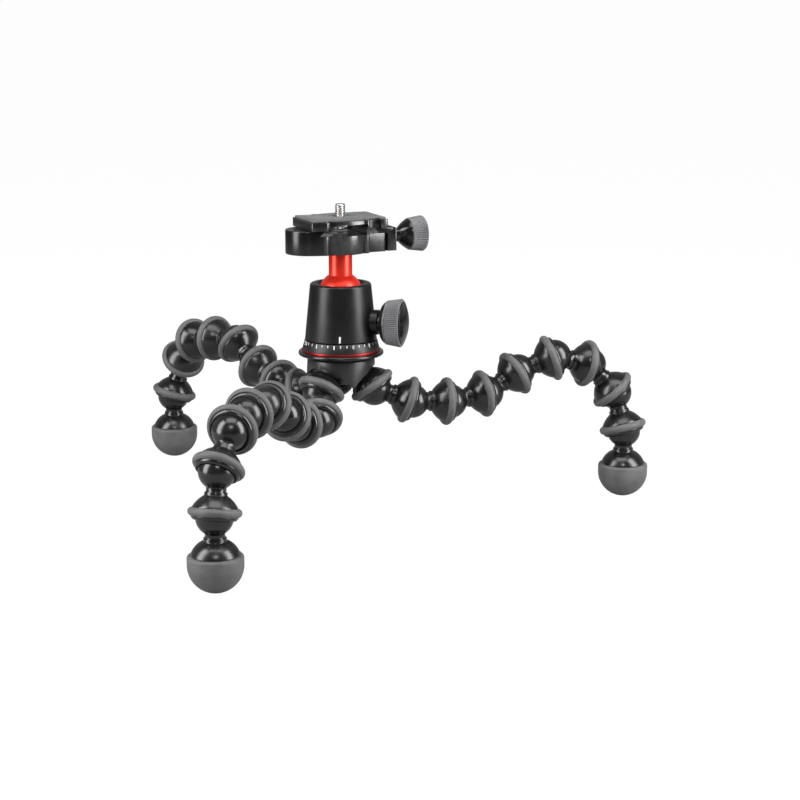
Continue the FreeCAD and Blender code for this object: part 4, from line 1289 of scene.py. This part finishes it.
@dataclass
class Housing:
    """The head's housing with its lock boss and pointer, and the ball on its stem."""

    bench: Bench
    base_radius: float = 21.8
    base_bevel: float = 0.6
    top_radius: float = 18.5
    top_round: float = 1.5
    top_swell: float = 0.1
    spigot_hole: float = 9.05
    floor: float = 2.2
    chamber_radius: float = 16.0
    mouth_radius: float = 15.0
    mouth_lip: float = 13.3
    mouth_depth: float = 1.6
    boss_radius: float = 7.5
    boss_reach: float = 23.6
    boss_root: float = 0.7
    screw_hole: float = 3.0
    bore_margin: float = 4.0
    edge_round: float = 0.4
    ball_radius: float = 13.5
    flat_depth: float = 11.8
    stem_radius: float = 7.1
    stem_bevel: float = 0.5
    stem_step: float = 0.25
    stem_edge: float = 0.3
    step_drops: tuple[float, float] = (1.2, 1.0)
    bolt_hole: float = 3.02
    bolt_depth: float = 11.2
    pointer: tuple[float, float, float] = (0.12, 1.1, 3.8)
    pointer_lift: float = 2.9

    def build(self) -> None:
        """Build the housing, its pointer and the ball."""
        bench = self.bench
        bench.fit(self.shell(), "head", ["head_housing"], Slot.BLACK, FinishName.BLACK_ANODISE)
        bench.fit(self.pointer_mark(), "head", [], Slot.BLACK, FinishName.PRINT)
        bench.fit(self.ball(), "ball", ["ball_stem"], Slot.RED, FinishName.RED_ANODISE)
        bench.keep("upper_seat", FinishName.LINER_POLYMER)
        bench.keep("ball_cup", FinishName.PLAIN_ALUMINIUM)
        bench.keep("lock_wedge", FinishName.STEEL)

    def shell(self) -> Object:
        """The tapered housing, hollow inside, with the round boss of the lock."""
        low, high = self.bench.low("head_housing"), self.bench.high("head_housing")
        chamber = self.chamber_radius
        shoulder = (self.top_radius + self.top_swell, high - self.top_round)
        rim = (self.top_radius - self.top_round, high)
        outline = [(self.spigot_hole, low), (self.base_radius - self.base_bevel, low),
                   (self.base_radius, low + self.base_bevel), shoulder,
                   *bow(shoulder, rim, self.top_round, steps=6), (self.mouth_radius, high),
                   (self.mouth_lip, high - self.mouth_depth), (chamber, high - self.mouth_depth),
                   (chamber, low + self.floor), (self.spigot_hole, low + self.floor)]
        piece = turned("housing", loop(outline), FINE_STEPS)
        axis = self.bench.joint("lock_knob_turn").z
        place = facing(Vector((0.0, 0.0, axis)), heading(Heading.LOCK.value))
        boss = rod("boss", self.boss_radius, chamber + self.boss_root, self.boss_reach)
        carve(piece, moved(boss, place), "UNION")
        bore = rod("boss_bore", self.screw_hole, chamber - self.bore_margin,
                   self.boss_reach + self.bore_margin)
        carve(piece, moved(bore, place))
        soften(piece, self.edge_round, segments=3, angle=BOSS_ANGLE)
        return moved(mark_turning(piece), self.bench.upright())

    def pointer_mark(self) -> Object:
        """The printed line above the scale."""
        low, high = self.bench.low("head_housing"), self.bench.high("head_housing")
        middle = low + self.pointer_lift
        share = (middle - low) / (high - low)
        lean = math.atan2(self.base_radius - self.top_radius, high - low)
        reach = self.base_radius + (self.top_radius - self.base_radius) * share
        mark = moved(bar("pointer", Vector(self.pointer)), Matrix.Rotation(-lean, 4, "Y"))
        out = Matrix.Translation(Vector((reach, 0.0, middle)) * MM)
        return moved(mark, self.bench.upright(0.0, Heading.INDEX.value) @ out)

    def ball(self) -> Object:
        """The ball and its stem, bored for the clamp's screw."""
        flat = (math.sqrt(self.ball_radius**2 - self.flat_depth**2), -self.flat_depth)
        shoulder = self.stem_radius + self.stem_bevel
        rise = math.sqrt(self.ball_radius**2 - shoulder**2)
        centre = self.bench.joint("ball_tilt").z / MM
        top = self.bench.high("ball_stem") - centre
        step_low, step_high = self.step_drops
        neck = self.stem_radius - self.stem_step
        outline = [(0.0, -self.flat_depth), flat,
                   *bow(flat, (shoulder, rise), self.ball_radius, steps=26),
                   (self.stem_radius, rise + self.stem_bevel), (self.stem_radius, top - step_low),
                   (neck, top - step_high), (neck, top), (self.bolt_hole, top),
                   (self.bolt_hole, top - self.bolt_depth), (0.0, top - self.bolt_depth)]
        piece = lathe("ball_and_stem", outline, self.stem_edge, steps=FINE_STEPS)
        return moved(piece, self.bench.upright(centre))


@dataclass
class Knob:
    """A flared knob with a tapered, ribbed rubber grip, along +Z from the part's axis."""

    name: str
    body: str
    joint: str
    heading: float
    start: float
    neck_radius: float
    neck_length: float
    cone_radius: float
    cone_length: float
    core_radius: float
    grip_near: float
    grip_far: float
    grip_length: float
    ribs: int
    rib_depth: float
    cone_curve: float = 30.0
    flare_edge: float = 0.3
    near_rim: tuple[Point, ...] = ((-0.4, 0.0), (0.0, 0.4), (0.05, 0.8))
    far_rim: tuple[Point, ...] = ((-0.05, -1.1), (0.0, -0.8), (-0.35, -0.15), (-0.9, 0.0))
    rib_ends: tuple[float, float] = (0.6, 0.5)
    rib_margin: float = 0.2
    cap_radius: float = 0.0
    cap_edge: float = 0.7
    cap_rise: float = 3.0
    cap_bevel: Point = (-0.5, 0.1)
    cap_round: float = 0.2

    def build(self, bench: Bench) -> None:
        """Build the knob, its grip and its cap, and place them on their axis.

        Args:
            bench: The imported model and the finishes.
        """
        place = facing(Vector((*bench.hub.xy, bench.joint(self.joint).z)), heading(self.heading))
        pieces = [
            (self.flare, "knob", Slot.BLACK, FinishName.BLACK_GLOSS),
            (self.grip, "grip", Slot.RUBBER, FinishName.GRIP_RUBBER),
            (self.cap, "cap", Slot.BLACK, FinishName.BLACK_GLOSS),
        ]
        for model, ending, slot, finish in pieces if self.cap_radius else pieces[:2]:
            bench.fit(moved(model(), place), self.body, [f"{self.name}_{ending}"], slot, finish)
        bench.keep(f"{self.name}_screw", FinishName.STEEL)

    @property
    def grip_start(self) -> float:
        """Where the grip begins along the axis."""
        return self.start + self.neck_length + self.cone_length

    @property
    def grip_end(self) -> float:
        """Where the grip ends along the axis."""
        return self.grip_start + self.grip_length

    def flare(self) -> Object:
        """The neck, the curved cone and the core under the grip."""
        neck = (self.neck_radius, self.start + self.neck_length)
        cone = bow(neck, (self.cone_radius, self.grip_start), self.cone_curve, steps=8)
        outline = [(0.0, self.start), (self.neck_radius, self.start), neck, *cone,
                   (self.core_radius, self.grip_start), (self.core_radius, self.grip_end),
                   (0.0, self.grip_end)]
        return lathe(f"{self.name}_flare", outline, self.flare_edge)

    def grip(self) -> Object:
        """The rubber sleeve with fine grooves cut all round."""
        inner = self.core_radius + FIT_GAP
        low, high = self.grip_start + FIT_GAP, self.grip_end
        near = [(self.grip_near + out, low + along) for out, along in self.near_rim]
        far = [(self.grip_far + out, high + along) for out, along in self.far_rim]
        outline = loop([(inner, low), *near, *far, (inner, high)])
        piece = turned(f"{self.name}_sleeve", outline, self.ribs * 2)
        sink_columns(piece, self.ribs, low + self.rib_ends[0], high - self.rib_ends[1],
                     self.grip_near - self.rib_margin, self.rib_depth)
        return shade(mark_turning(piece))

    def cap(self) -> Object:
        """The low domed cap over the knob's end."""
        end, edge = self.grip_end, self.grip_end + self.cap_edge
        dome = (self.cap_radius**2 / self.cap_rise + self.cap_rise) / 2
        bevel = (self.cap_radius + self.cap_bevel[0], edge + self.cap_bevel[1])
        outline = [(0.0, end), (self.cap_radius, end), (self.cap_radius, edge), bevel,
                   *bow(bevel, (0.0, edge + self.cap_rise), dome, steps=12)]
        return lathe(f"{self.name}_dome", outline, self.cap_round)


@dataclass
class Clamp:
    """The quick release clamp: its body, its sliding jaw and the plate that it holds."""

    bench: Bench
    lobe_radius: float = 14.0
    lobe_reach: float = 20.4
    lobe_sweep: tuple[float, float] = (109.0, 251.0)
    lobe_foot: float = 4.6
    lobe_hollow: tuple[Point, Point] = ((0.8, -13.2), (1.9, -14.0))
    front_bulge: float = 19.3
    half_width: float = 14.5
    waist: float = 15.4
    recess: float = 12.6
    end: float = 24.6
    height: float = 14.4
    base_edge: float = 0.45
    slot_floor: float = 11.3
    foot_half: float = 19.0
    foot_inset: float = 0.2
    neck_half: float = 16.4
    neck_lap: float = 0.5
    rise: float = 2.6
    play: float = 0.06
    lift: float = 0.2
    rib_left: float = -15.3
    rib_right: float = 10.8
    rib_half: float = 1.8
    rib_curve: float = 2.4
    bolt_head_hole: float = 5.2
    bolt_seat: float = 7.1
    screw_height: float = 7.9
    screw_hole: float = 2.9
    screw_bore_start: float = 5.4
    pin_height: float = 5.5
    pin_spread: float = 9.0
    pin_hole: float = 1.55
    pin_bore_start: float = 11.7
    jaw_start: float = 24.9
    jaw_end: float = 30.6
    jaw_low: float = 0.5
    jaw_edge: float = 0.5
    jaw_groove: tuple[float, float] = (3.4, 4.4)
    groove_depth: float = 0.8
    jaw_bore_play: float = 0.1
    plate_half_length: float = 24.5
    plate_half_width: float = 17.5
    plate_thickness: float = 5.3
    plate_corner: float = 1.2
    plate_side: float = 1.1
    plate_bulge: float = 40.0
    plate_edge: float = 0.3
    notch_depth: float = 2.6
    notch_end: float = 19.8
    channel_half: float = 11.0
    skin: float = 2.2
    pad_border: float = 1.0
    pad_hole: float = 3.5
    pad_edge: float = 0.25
    ridge_rows: int = 10
    ridge_pitch: float = 1.22
    ridge_width: float = 0.62
    ridge_height: float = 0.5
    ridge_end: float = 20.5
    ridge_gap: float = 4.6
    short_rows: int = 3
    above: float = 30.0
    across: float = 40.0
    beyond: float = 60.0

    def build(self) -> None:
        """Build the clamp's body, the jaw, the plate and its pad."""
        bench = self.bench
        place = bench.upright(bench.low("clamp_base"), Heading.CLAMP.value)
        dressed = [
            (self.base(), "platform", "clamp_base", Slot.BLACK, FinishName.BLACK_POLISH),
            (self.jaw(), "jaw", "clamp_jaw", Slot.BLACK, FinishName.BLACK_POLISH),
            (self.plate(), "plate", "quick_plate", Slot.BLACK, FinishName.BLACK_POLISH),
            (self.pad(), "plate", "plate_pad", Slot.RUBBER, FinishName.PAD_RUBBER),
        ]
        for piece, body, node, slot, finish in dressed:
            bench.fit(moved(piece, place), body, [node], slot, finish)
        bench.keep("clamp_bolt", FinishName.STEEL)
        bench.keep("guide_pins", FinishName.STEEL)

    def front(self) -> list[Point]:
        """The wavy front edge of the clamp's plan, from the lobe to the jaw."""
        left, right, half, waist = self.rib_left, self.rib_right, self.rib_half, self.waist
        lobe = -self.lobe_reach - self.lobe_foot
        first, second = (left - half, -waist), (left + half, -waist)
        third, fourth = (right - half, -waist), (right + half, -waist)
        return [
            *((lobe + x, y) for x, y in self.lobe_hollow), first,
            *bow(first, second, self.rib_curve, steps=8),
            *bow(second, third, self.front_bulge, steps=14),
            *bow(third, fourth, self.rib_curve, steps=8),
            (fourth[0], -self.recess), (self.end, -self.recess),
        ]

    def base(self) -> Object:
        """The clamp's body with its dovetail slot."""
        front = self.front()
        back = [(x, -y) for x, y in reversed(front)]
        lobe = arc((-self.lobe_reach, 0.0), self.lobe_radius, *self.lobe_sweep, steps=36)
        piece = extruded("clamp_body", front + back + lobe, 0.0, self.height)
        soften(piece, self.base_edge, segments=3, angle=CORNER_ANGLE)
        wall, neck = -(self.foot_half + self.play), -(self.neck_half + self.play)
        low = self.slot_floor + self.lift
        slot = [(wall, self.slot_floor), (self.beyond, self.slot_floor), (self.beyond, self.above),
                (neck, self.above), (neck, low + self.rise), (wall, low)]
        carve(piece, endwise("slot_tool", slot, self.across))
        carve(piece, peg("bolt_tool", self.bolt_head_hole, self.bolt_seat, self.above))
        for radius, across, height, start in (
            (self.screw_hole, 0.0, self.screw_height, self.screw_bore_start),
            (self.pin_hole, -self.pin_spread, self.pin_height, self.pin_bore_start),
            (self.pin_hole, self.pin_spread, self.pin_height, self.pin_bore_start),
        ):
            carve(piece, self.long_bore(radius, across, height, start))
        return shade(piece)

    def long_bore(self, radius: float, across: float, height: float, start: float) -> Object:
        """A round tool along the clamp, from a start to beyond its end.

        Args:
            radius: The bore's radius.
            across: Its distance from the clamp's middle plane.
            height: Its height above the clamp's underside.
            start: Where it starts along the clamp.

        Returns:
            The tool.
        """
        tool = rod("bore_tool", radius, start, self.beyond, TOOL_STEPS)
        return moved(tool, facing(Vector((0.0, across, height)) * MM, Vector((1.0, 0.0, 0.0))))

    def jaw(self) -> Object:
        """The sliding jaw with its hooked top edge."""
        foot, neck = self.foot_half + self.play, self.neck_half + self.play
        low = self.slot_floor + self.lift
        profile = [(self.jaw_start, self.jaw_low), (self.jaw_end, self.jaw_low),
                   (self.jaw_end, self.height), (neck, self.height), (neck, low + self.rise),
                   (foot, low), (self.jaw_start, low)]
        piece = endwise("clamp_slider", profile, self.half_width)
        left, right = (self.jaw_start + reach for reach in self.jaw_groove)
        bottom = self.height - self.groove_depth
        groove = [(left, bottom), (right, bottom), (right, self.above), (left, self.above)]
        carve(piece, endwise("jaw_groove", groove, self.above))
        soften(piece, self.jaw_edge, segments=3)
        bore = self.long_bore(self.screw_hole + self.jaw_bore_play, 0.0, self.screw_height, 0.0)
        carve(piece, bore)
        return shade(piece)

    def plate_plan(self, inset: float) -> list[Point]:
        """The plate's plan with its ribs and its notch, drawn in by an inset.

        Args:
            inset: How far inside the plate's edge the plan runs.

        Returns:
            The closed plan.
        """
        length, width = self.plate_half_length - inset, self.plate_half_width - inset
        corner, half = self.plate_corner, self.rib_half
        side = width - self.plate_side
        notch = -side + self.notch_depth
        first, second, third, fourth = (
            (middle + reach, -side)
            for middle in (self.rib_left, self.rib_right) for reach in (-half, half))
        front = [
            *arc((-length + corner, -side + corner), corner, 180.0, 270.0, steps=4),
            first, *bow(first, second, self.rib_curve, steps=8),
            *bow(second, third, self.plate_bulge, steps=12),
            third, *bow(third, fourth, self.rib_curve, steps=8),
            (fourth[0], notch), (self.notch_end, notch), (self.notch_end, -side),
            *arc((length - corner, -side + corner), corner, 270.0, 360.0, steps=4),
        ]
        return front + [(-x, -y) for x, y in front]

    def plate(self) -> Object:
        """The quick release plate: a wavy slab on a dovetail foot, open below its middle."""
        bottom = self.height + self.lift
        top = bottom + self.plate_thickness
        piece = extruded("release_plate", self.plate_plan(0.0), bottom, top)
        soften(piece, self.plate_edge, segments=2, angle=CORNER_ANGLE)
        low, lap = self.slot_floor + self.lift, bottom + self.neck_lap
        foot = [(-self.foot_half, low), (self.foot_half, low), (self.neck_half, low + self.rise),
                (self.neck_half, lap), (-self.neck_half, lap), (-self.neck_half, low + self.rise)]
        carve(piece, endwise("plate_foot", foot, self.waist - self.foot_inset), "UNION")
        half, roof = self.channel_half, top - self.skin
        channel = [(-half, 0.0), (half, 0.0), (half, roof), (-half, roof)]
        carve(piece, endwise("plate_channel", channel, self.across))
        carve(piece, peg("plate_bore", self.screw_hole, 0.0, self.across))
        return shade(piece)

    def pad(self) -> Object:
        """The thin rubber pad with its ridged top."""
        bottom = self.height + self.lift + self.plate_thickness
        top = self.bench.high("plate_pad") - self.bench.low("clamp_base")
        level = top - self.ridge_height / 2
        piece = extruded("camera_pad", self.plate_plan(self.pad_border), bottom, level)
        soften(piece, self.pad_edge, segments=2, angle=CORNER_ANGLE)
        carve(piece, peg("pad_bore", self.pad_hole, 0.0, self.across))
        full = ((-self.ridge_end, self.ridge_end),)
        split = ((-self.ridge_end, -self.ridge_gap), (self.ridge_gap, self.ridge_end))
        ridges = []
        for row in range(-self.ridge_rows, self.ridge_rows + 1):
            for left, right in split if abs(row) < self.short_rows else full:
                ridge = bar("ridge", Vector((right - left, self.ridge_width, self.ridge_height)))
                middle = Vector(((left + right) / 2, row * self.ridge_pitch, level)) * MM
                ridges.append(moved(ridge, Matrix.Translation(middle)))
        return shade(join(piece, ridges))


@dataclass
class CameraScrew:
    """The camera screw with its real thread, above its captive head and bail."""

    bench: Bench
    radius: float = 3.175
    pitch: float = 1.27
    depth: float = 0.62
    crest: tuple[float, float] = (0.42, 0.58)
    relief: float = 2.55
    head_radius: float = 7.0
    head_height: float = 2.2
    head_drop: float = 2.4
    head_edge: float = 0.25
    lug: tuple[float, float, float] = (5.0, 4.0, 2.6)
    lug_drop: float = 0.9
    tip_bevel: float = 0.7
    tip_margin: float = 1.0
    tip_clear: float = 0.001
    steps: int = 36
    below: float = 1.6

    def build(self) -> None:
        """Build the screw and keep the bail's solid."""
        self.bench.fit(self.shank(), "screw", ["camera_screw"], Slot.STEEL, FinishName.STEEL)
        self.bench.keep("screw_bail", FinishName.STEEL)

    def shank(self) -> Object:
        """The head, the relieved shank and the threaded end as one piece."""
        start = self.bench.high("plate_pad") - self.below
        head_top = self.bench.high("quick_plate") - self.head_drop
        head_low = head_top - self.head_height
        thread = self.thread(start, self.bench.high("camera_screw"))
        outline = [(0.0, head_low), (self.head_radius, head_low), (self.head_radius, head_top),
                   (self.relief, head_top), (self.relief, start), (0.0, start)]
        head = soften(turned("screw_head", outline), self.head_edge)
        drop = Matrix.Translation(Vector((0.0, 0.0, head_low - self.lug_drop)) * MM)
        lug = moved(bar("screw_lug", Vector(self.lug)), drop)
        piece = mark_turning(renamed(join(head, [thread, lug]), "screw_shank"))
        return moved(piece, self.bench.upright(0.0, Heading.CLAMP.value))

    def thread(self, low: float, high: float) -> Object:
        """A helical thread between two heights.

        Args:
            low: The height where it starts.
            high: The height of the screw's tip.

        Returns:
            The closed threaded length.
        """
        core, pitch = self.radius - self.depth, self.pitch
        first, last = (pitch * share for share in self.crest)
        profile = [(core, 0.0), (self.radius, first), (self.radius, last), (core, pitch)]
        places = [Vector((radius, 0.0, low - pitch + height)) * MM for radius, height in profile]
        piece = start_chain("screw_thread", places[0])
        extend_chain(places)
        bpy.ops.object.mode_set(mode="OBJECT")
        turns = math.ceil((high - low) / pitch) + 2
        refine(piece, "SCREW", axis="Z", angle=TAU, screw_offset=pitch * MM, iterations=turns,
               steps=self.steps, render_steps=self.steps, use_merge_vertices=True,
               merge_threshold=WELD)
        for height, normal in ((low, (0, 0, -1)), (high, (0, 0, 1))):
            begin_edit(piece)
            bpy.ops.mesh.bisect(plane_co=(0, 0, height * MM), plane_no=normal, use_fill=True,
                                clear_outer=True)
            bpy.ops.object.mode_set(mode="OBJECT")
        begin_edit(piece)
        tidy_faces()
        wide, bottom = self.radius + self.tip_margin, low - self.tip_margin
        tip = high + self.tip_clear
        bevelled = high - self.tip_bevel - self.tip_margin
        guard = [(0.0, bottom), (wide, bottom), (wide, bevelled),
                 (self.radius - self.tip_bevel, tip), (0.0, tip)]
        carve(piece, turned("tip_tool", guard), "INTERSECT")
        return shade(piece)


LOCK_KNOB = Knob(
    name="lock", body="lock", joint="lock_knob_turn", heading=Heading.LOCK.value, start=24.3,
    neck_radius=6.6, neck_length=0.8, cone_radius=12.9, cone_length=3.4, core_radius=12.3,
    grip_near=13.3, grip_far=14.65, grip_length=9.6, ribs=72, rib_depth=0.6, cone_curve=6.5,
    cap_radius=12.9)
CLAMP_KNOB = Knob(
    name="clamp", body="jaw_knob", joint="clamp_knob_turn", heading=Heading.CLAMP.value,
    start=30.9, neck_radius=4.3, neck_length=7.0, cone_radius=9.4, cone_length=6.4,
    core_radius=9.0, grip_near=9.7, grip_far=10.9, grip_length=9.8, ribs=60, rib_depth=0.5)


@dataclass
class Studio:
    """The floor, the backdrop, the lights and the camera at the photograph's angle."""

    hub: Vector
    lens: float = 91.215
    pitch: float = 12.5
    far_clip: float = 100.0
    camera_place: tuple[float, float, float] = (0.0359, -1.2106, 0.337)
    aim_height: float = 0.08
    floor_size: float = 40.0
    floor_tone: float = 0.35
    floor_roughness: float = 0.9
    glow_share: float = 0.88
    glow_strength: float = 1.11
    lit_from: tuple[float, float] = (-0.25, 0.75)
    lit_to: tuple[float, float] = (0.03, 0.4)
    lamps: tuple[tuple[str, tuple[float, float, float], tuple[float, float], float], ...] = (
        ("left_box", (-0.75, -0.35, 0.45), (0.40, 1.0), 13.0),
        ("right_box", (0.75, -0.30, 0.45), (0.40, 1.0), 15.0),
        ("top_box", (0.0, -0.25, 1.00), (0.8, 0.5), 6.0),
        ("front_box", (0.05, -1.2, 0.95), (0.35, 0.25), 4.0),
    )

    def build(self) -> None:
        """Set the stage, the lamps, the world and the camera."""
        self.floor()
        self.world()
        for name, place, size, power in self.lamps:
            self.lamp(name, Vector(place), size, power)
        camera = bpy.data.objects.new("camera", bpy.data.cameras.new("camera"))
        bpy.context.scene.collection.objects.link(camera)
        camera.data.lens = self.lens
        camera.data.clip_end = self.far_clip
        camera.location = Vector(self.camera_place) + self.hub
        camera.rotation_euler = (math.radians(90.0 - self.pitch), 0.0, 0.0)
        bpy.context.scene.camera = camera
        bpy.context.scene.view_settings.view_transform = "Standard"

    def lamp(self, name: str, place: Vector, size: tuple[float, float], power: float) -> None:
        """Add a soft box that faces the middle of the tripod.

        Args:
            name: The lamp's name.
            place: Where it hangs, in metres.
            size: Its width and height.
            power: Its power in watts.
        """
        data = bpy.data.lights.new(name, "AREA")
        data.shape = "RECTANGLE"
        data.size, data.size_y = size
        data.energy = power
        lamp = bpy.data.objects.new(name, data)
        bpy.context.scene.collection.objects.link(lamp)
        lamp.location = place
        aim = Vector((0.0, 0.0, self.aim_height)) - place
        lamp.rotation_euler = aim.to_track_quat("-Z", "Y").to_euler()

    def floor(self) -> None:
        """A pale floor that keeps a faint shadow and glows for the camera alone."""
        leave_clear()
        bpy.ops.mesh.primitive_plane_add(size=self.floor_size)
        floor = named("floor")
        material = bpy.data.materials.new("pale_floor")
        material.use_nodes = True
        tree = material.node_tree
        shader = tree.nodes["Principled BSDF"]
        shader.inputs["Base Color"].default_value = (*[self.floor_tone] * 3, 1.0)
        shader.inputs["Roughness"].default_value = self.floor_roughness
        shader.inputs["Specular IOR Level"].default_value = 0.0
        glow = add_node(tree, "Emission", {"Strength": self.glow_strength})
        path = add_node(tree, "LightPath")
        seen = add_node(tree, "Math", {0: path.outputs["Is Camera Ray"], 1: self.glow_share},
                        operation="MULTIPLY")
        mix = add_node(tree, "MixShader", {
            "Fac": seen.outputs["Value"], 1: shader.outputs["BSDF"], 2: glow.outputs["Emission"]})
        tree.links.new(mix.outputs["Shader"], tree.nodes["Material Output"].inputs["Surface"])
        floor.data.materials.append(material)

    def world(self) -> None:
        """A white surround for the camera, dimmer as a light and in reflections."""
        world = bpy.context.scene.world or bpy.data.worlds.new("surround")
        bpy.context.scene.world = world
        world.use_nodes = True
        tree = world.node_tree
        tree.nodes.clear()
        path = add_node(tree, "LightPath")
        seen = add_node(tree, "Background", {"Color": WHITE})
        place = add_node(tree, "TexCoord")
        parts = add_node(tree, "SeparateXYZ", {"Vector": place.outputs["Generated"]})
        toward = add_node(tree, "MapRange", {
            "Value": parts.outputs["Y"], "From Min": self.lit_from[0], "From Max": self.lit_from[1],
            "To Min": self.lit_to[0], "To Max": self.lit_to[1]})
        lit = add_node(tree, "Background", {"Strength": toward.outputs["Result"]})
        mix = add_node(tree, "MixShader", {
            "Fac": path.outputs["Is Camera Ray"], 1: lit.outputs["Background"],
            2: seen.outputs["Background"]})
        add_node(tree, "OutputWorld", {"Surface": mix.outputs["Shader"]})


def main() -> None:
    """Build the tripod's looks in order and set the studio."""
    logging.basicConfig(level=logging.INFO, format="%(name)s: %(message)s")
    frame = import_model()
    bench = Bench(frame, Paintshop())
    Legs(bench).build()
    Hub(bench).build()
    PanBase(bench).build()
    Housing(bench).build()
    LOCK_KNOB.build(bench)
    CLAMP_KNOB.build(bench)
    Clamp(bench).build()
    CameraScrew(bench).build()
    Studio(bench.hub).build()


if __name__ == "__main__":
    main()
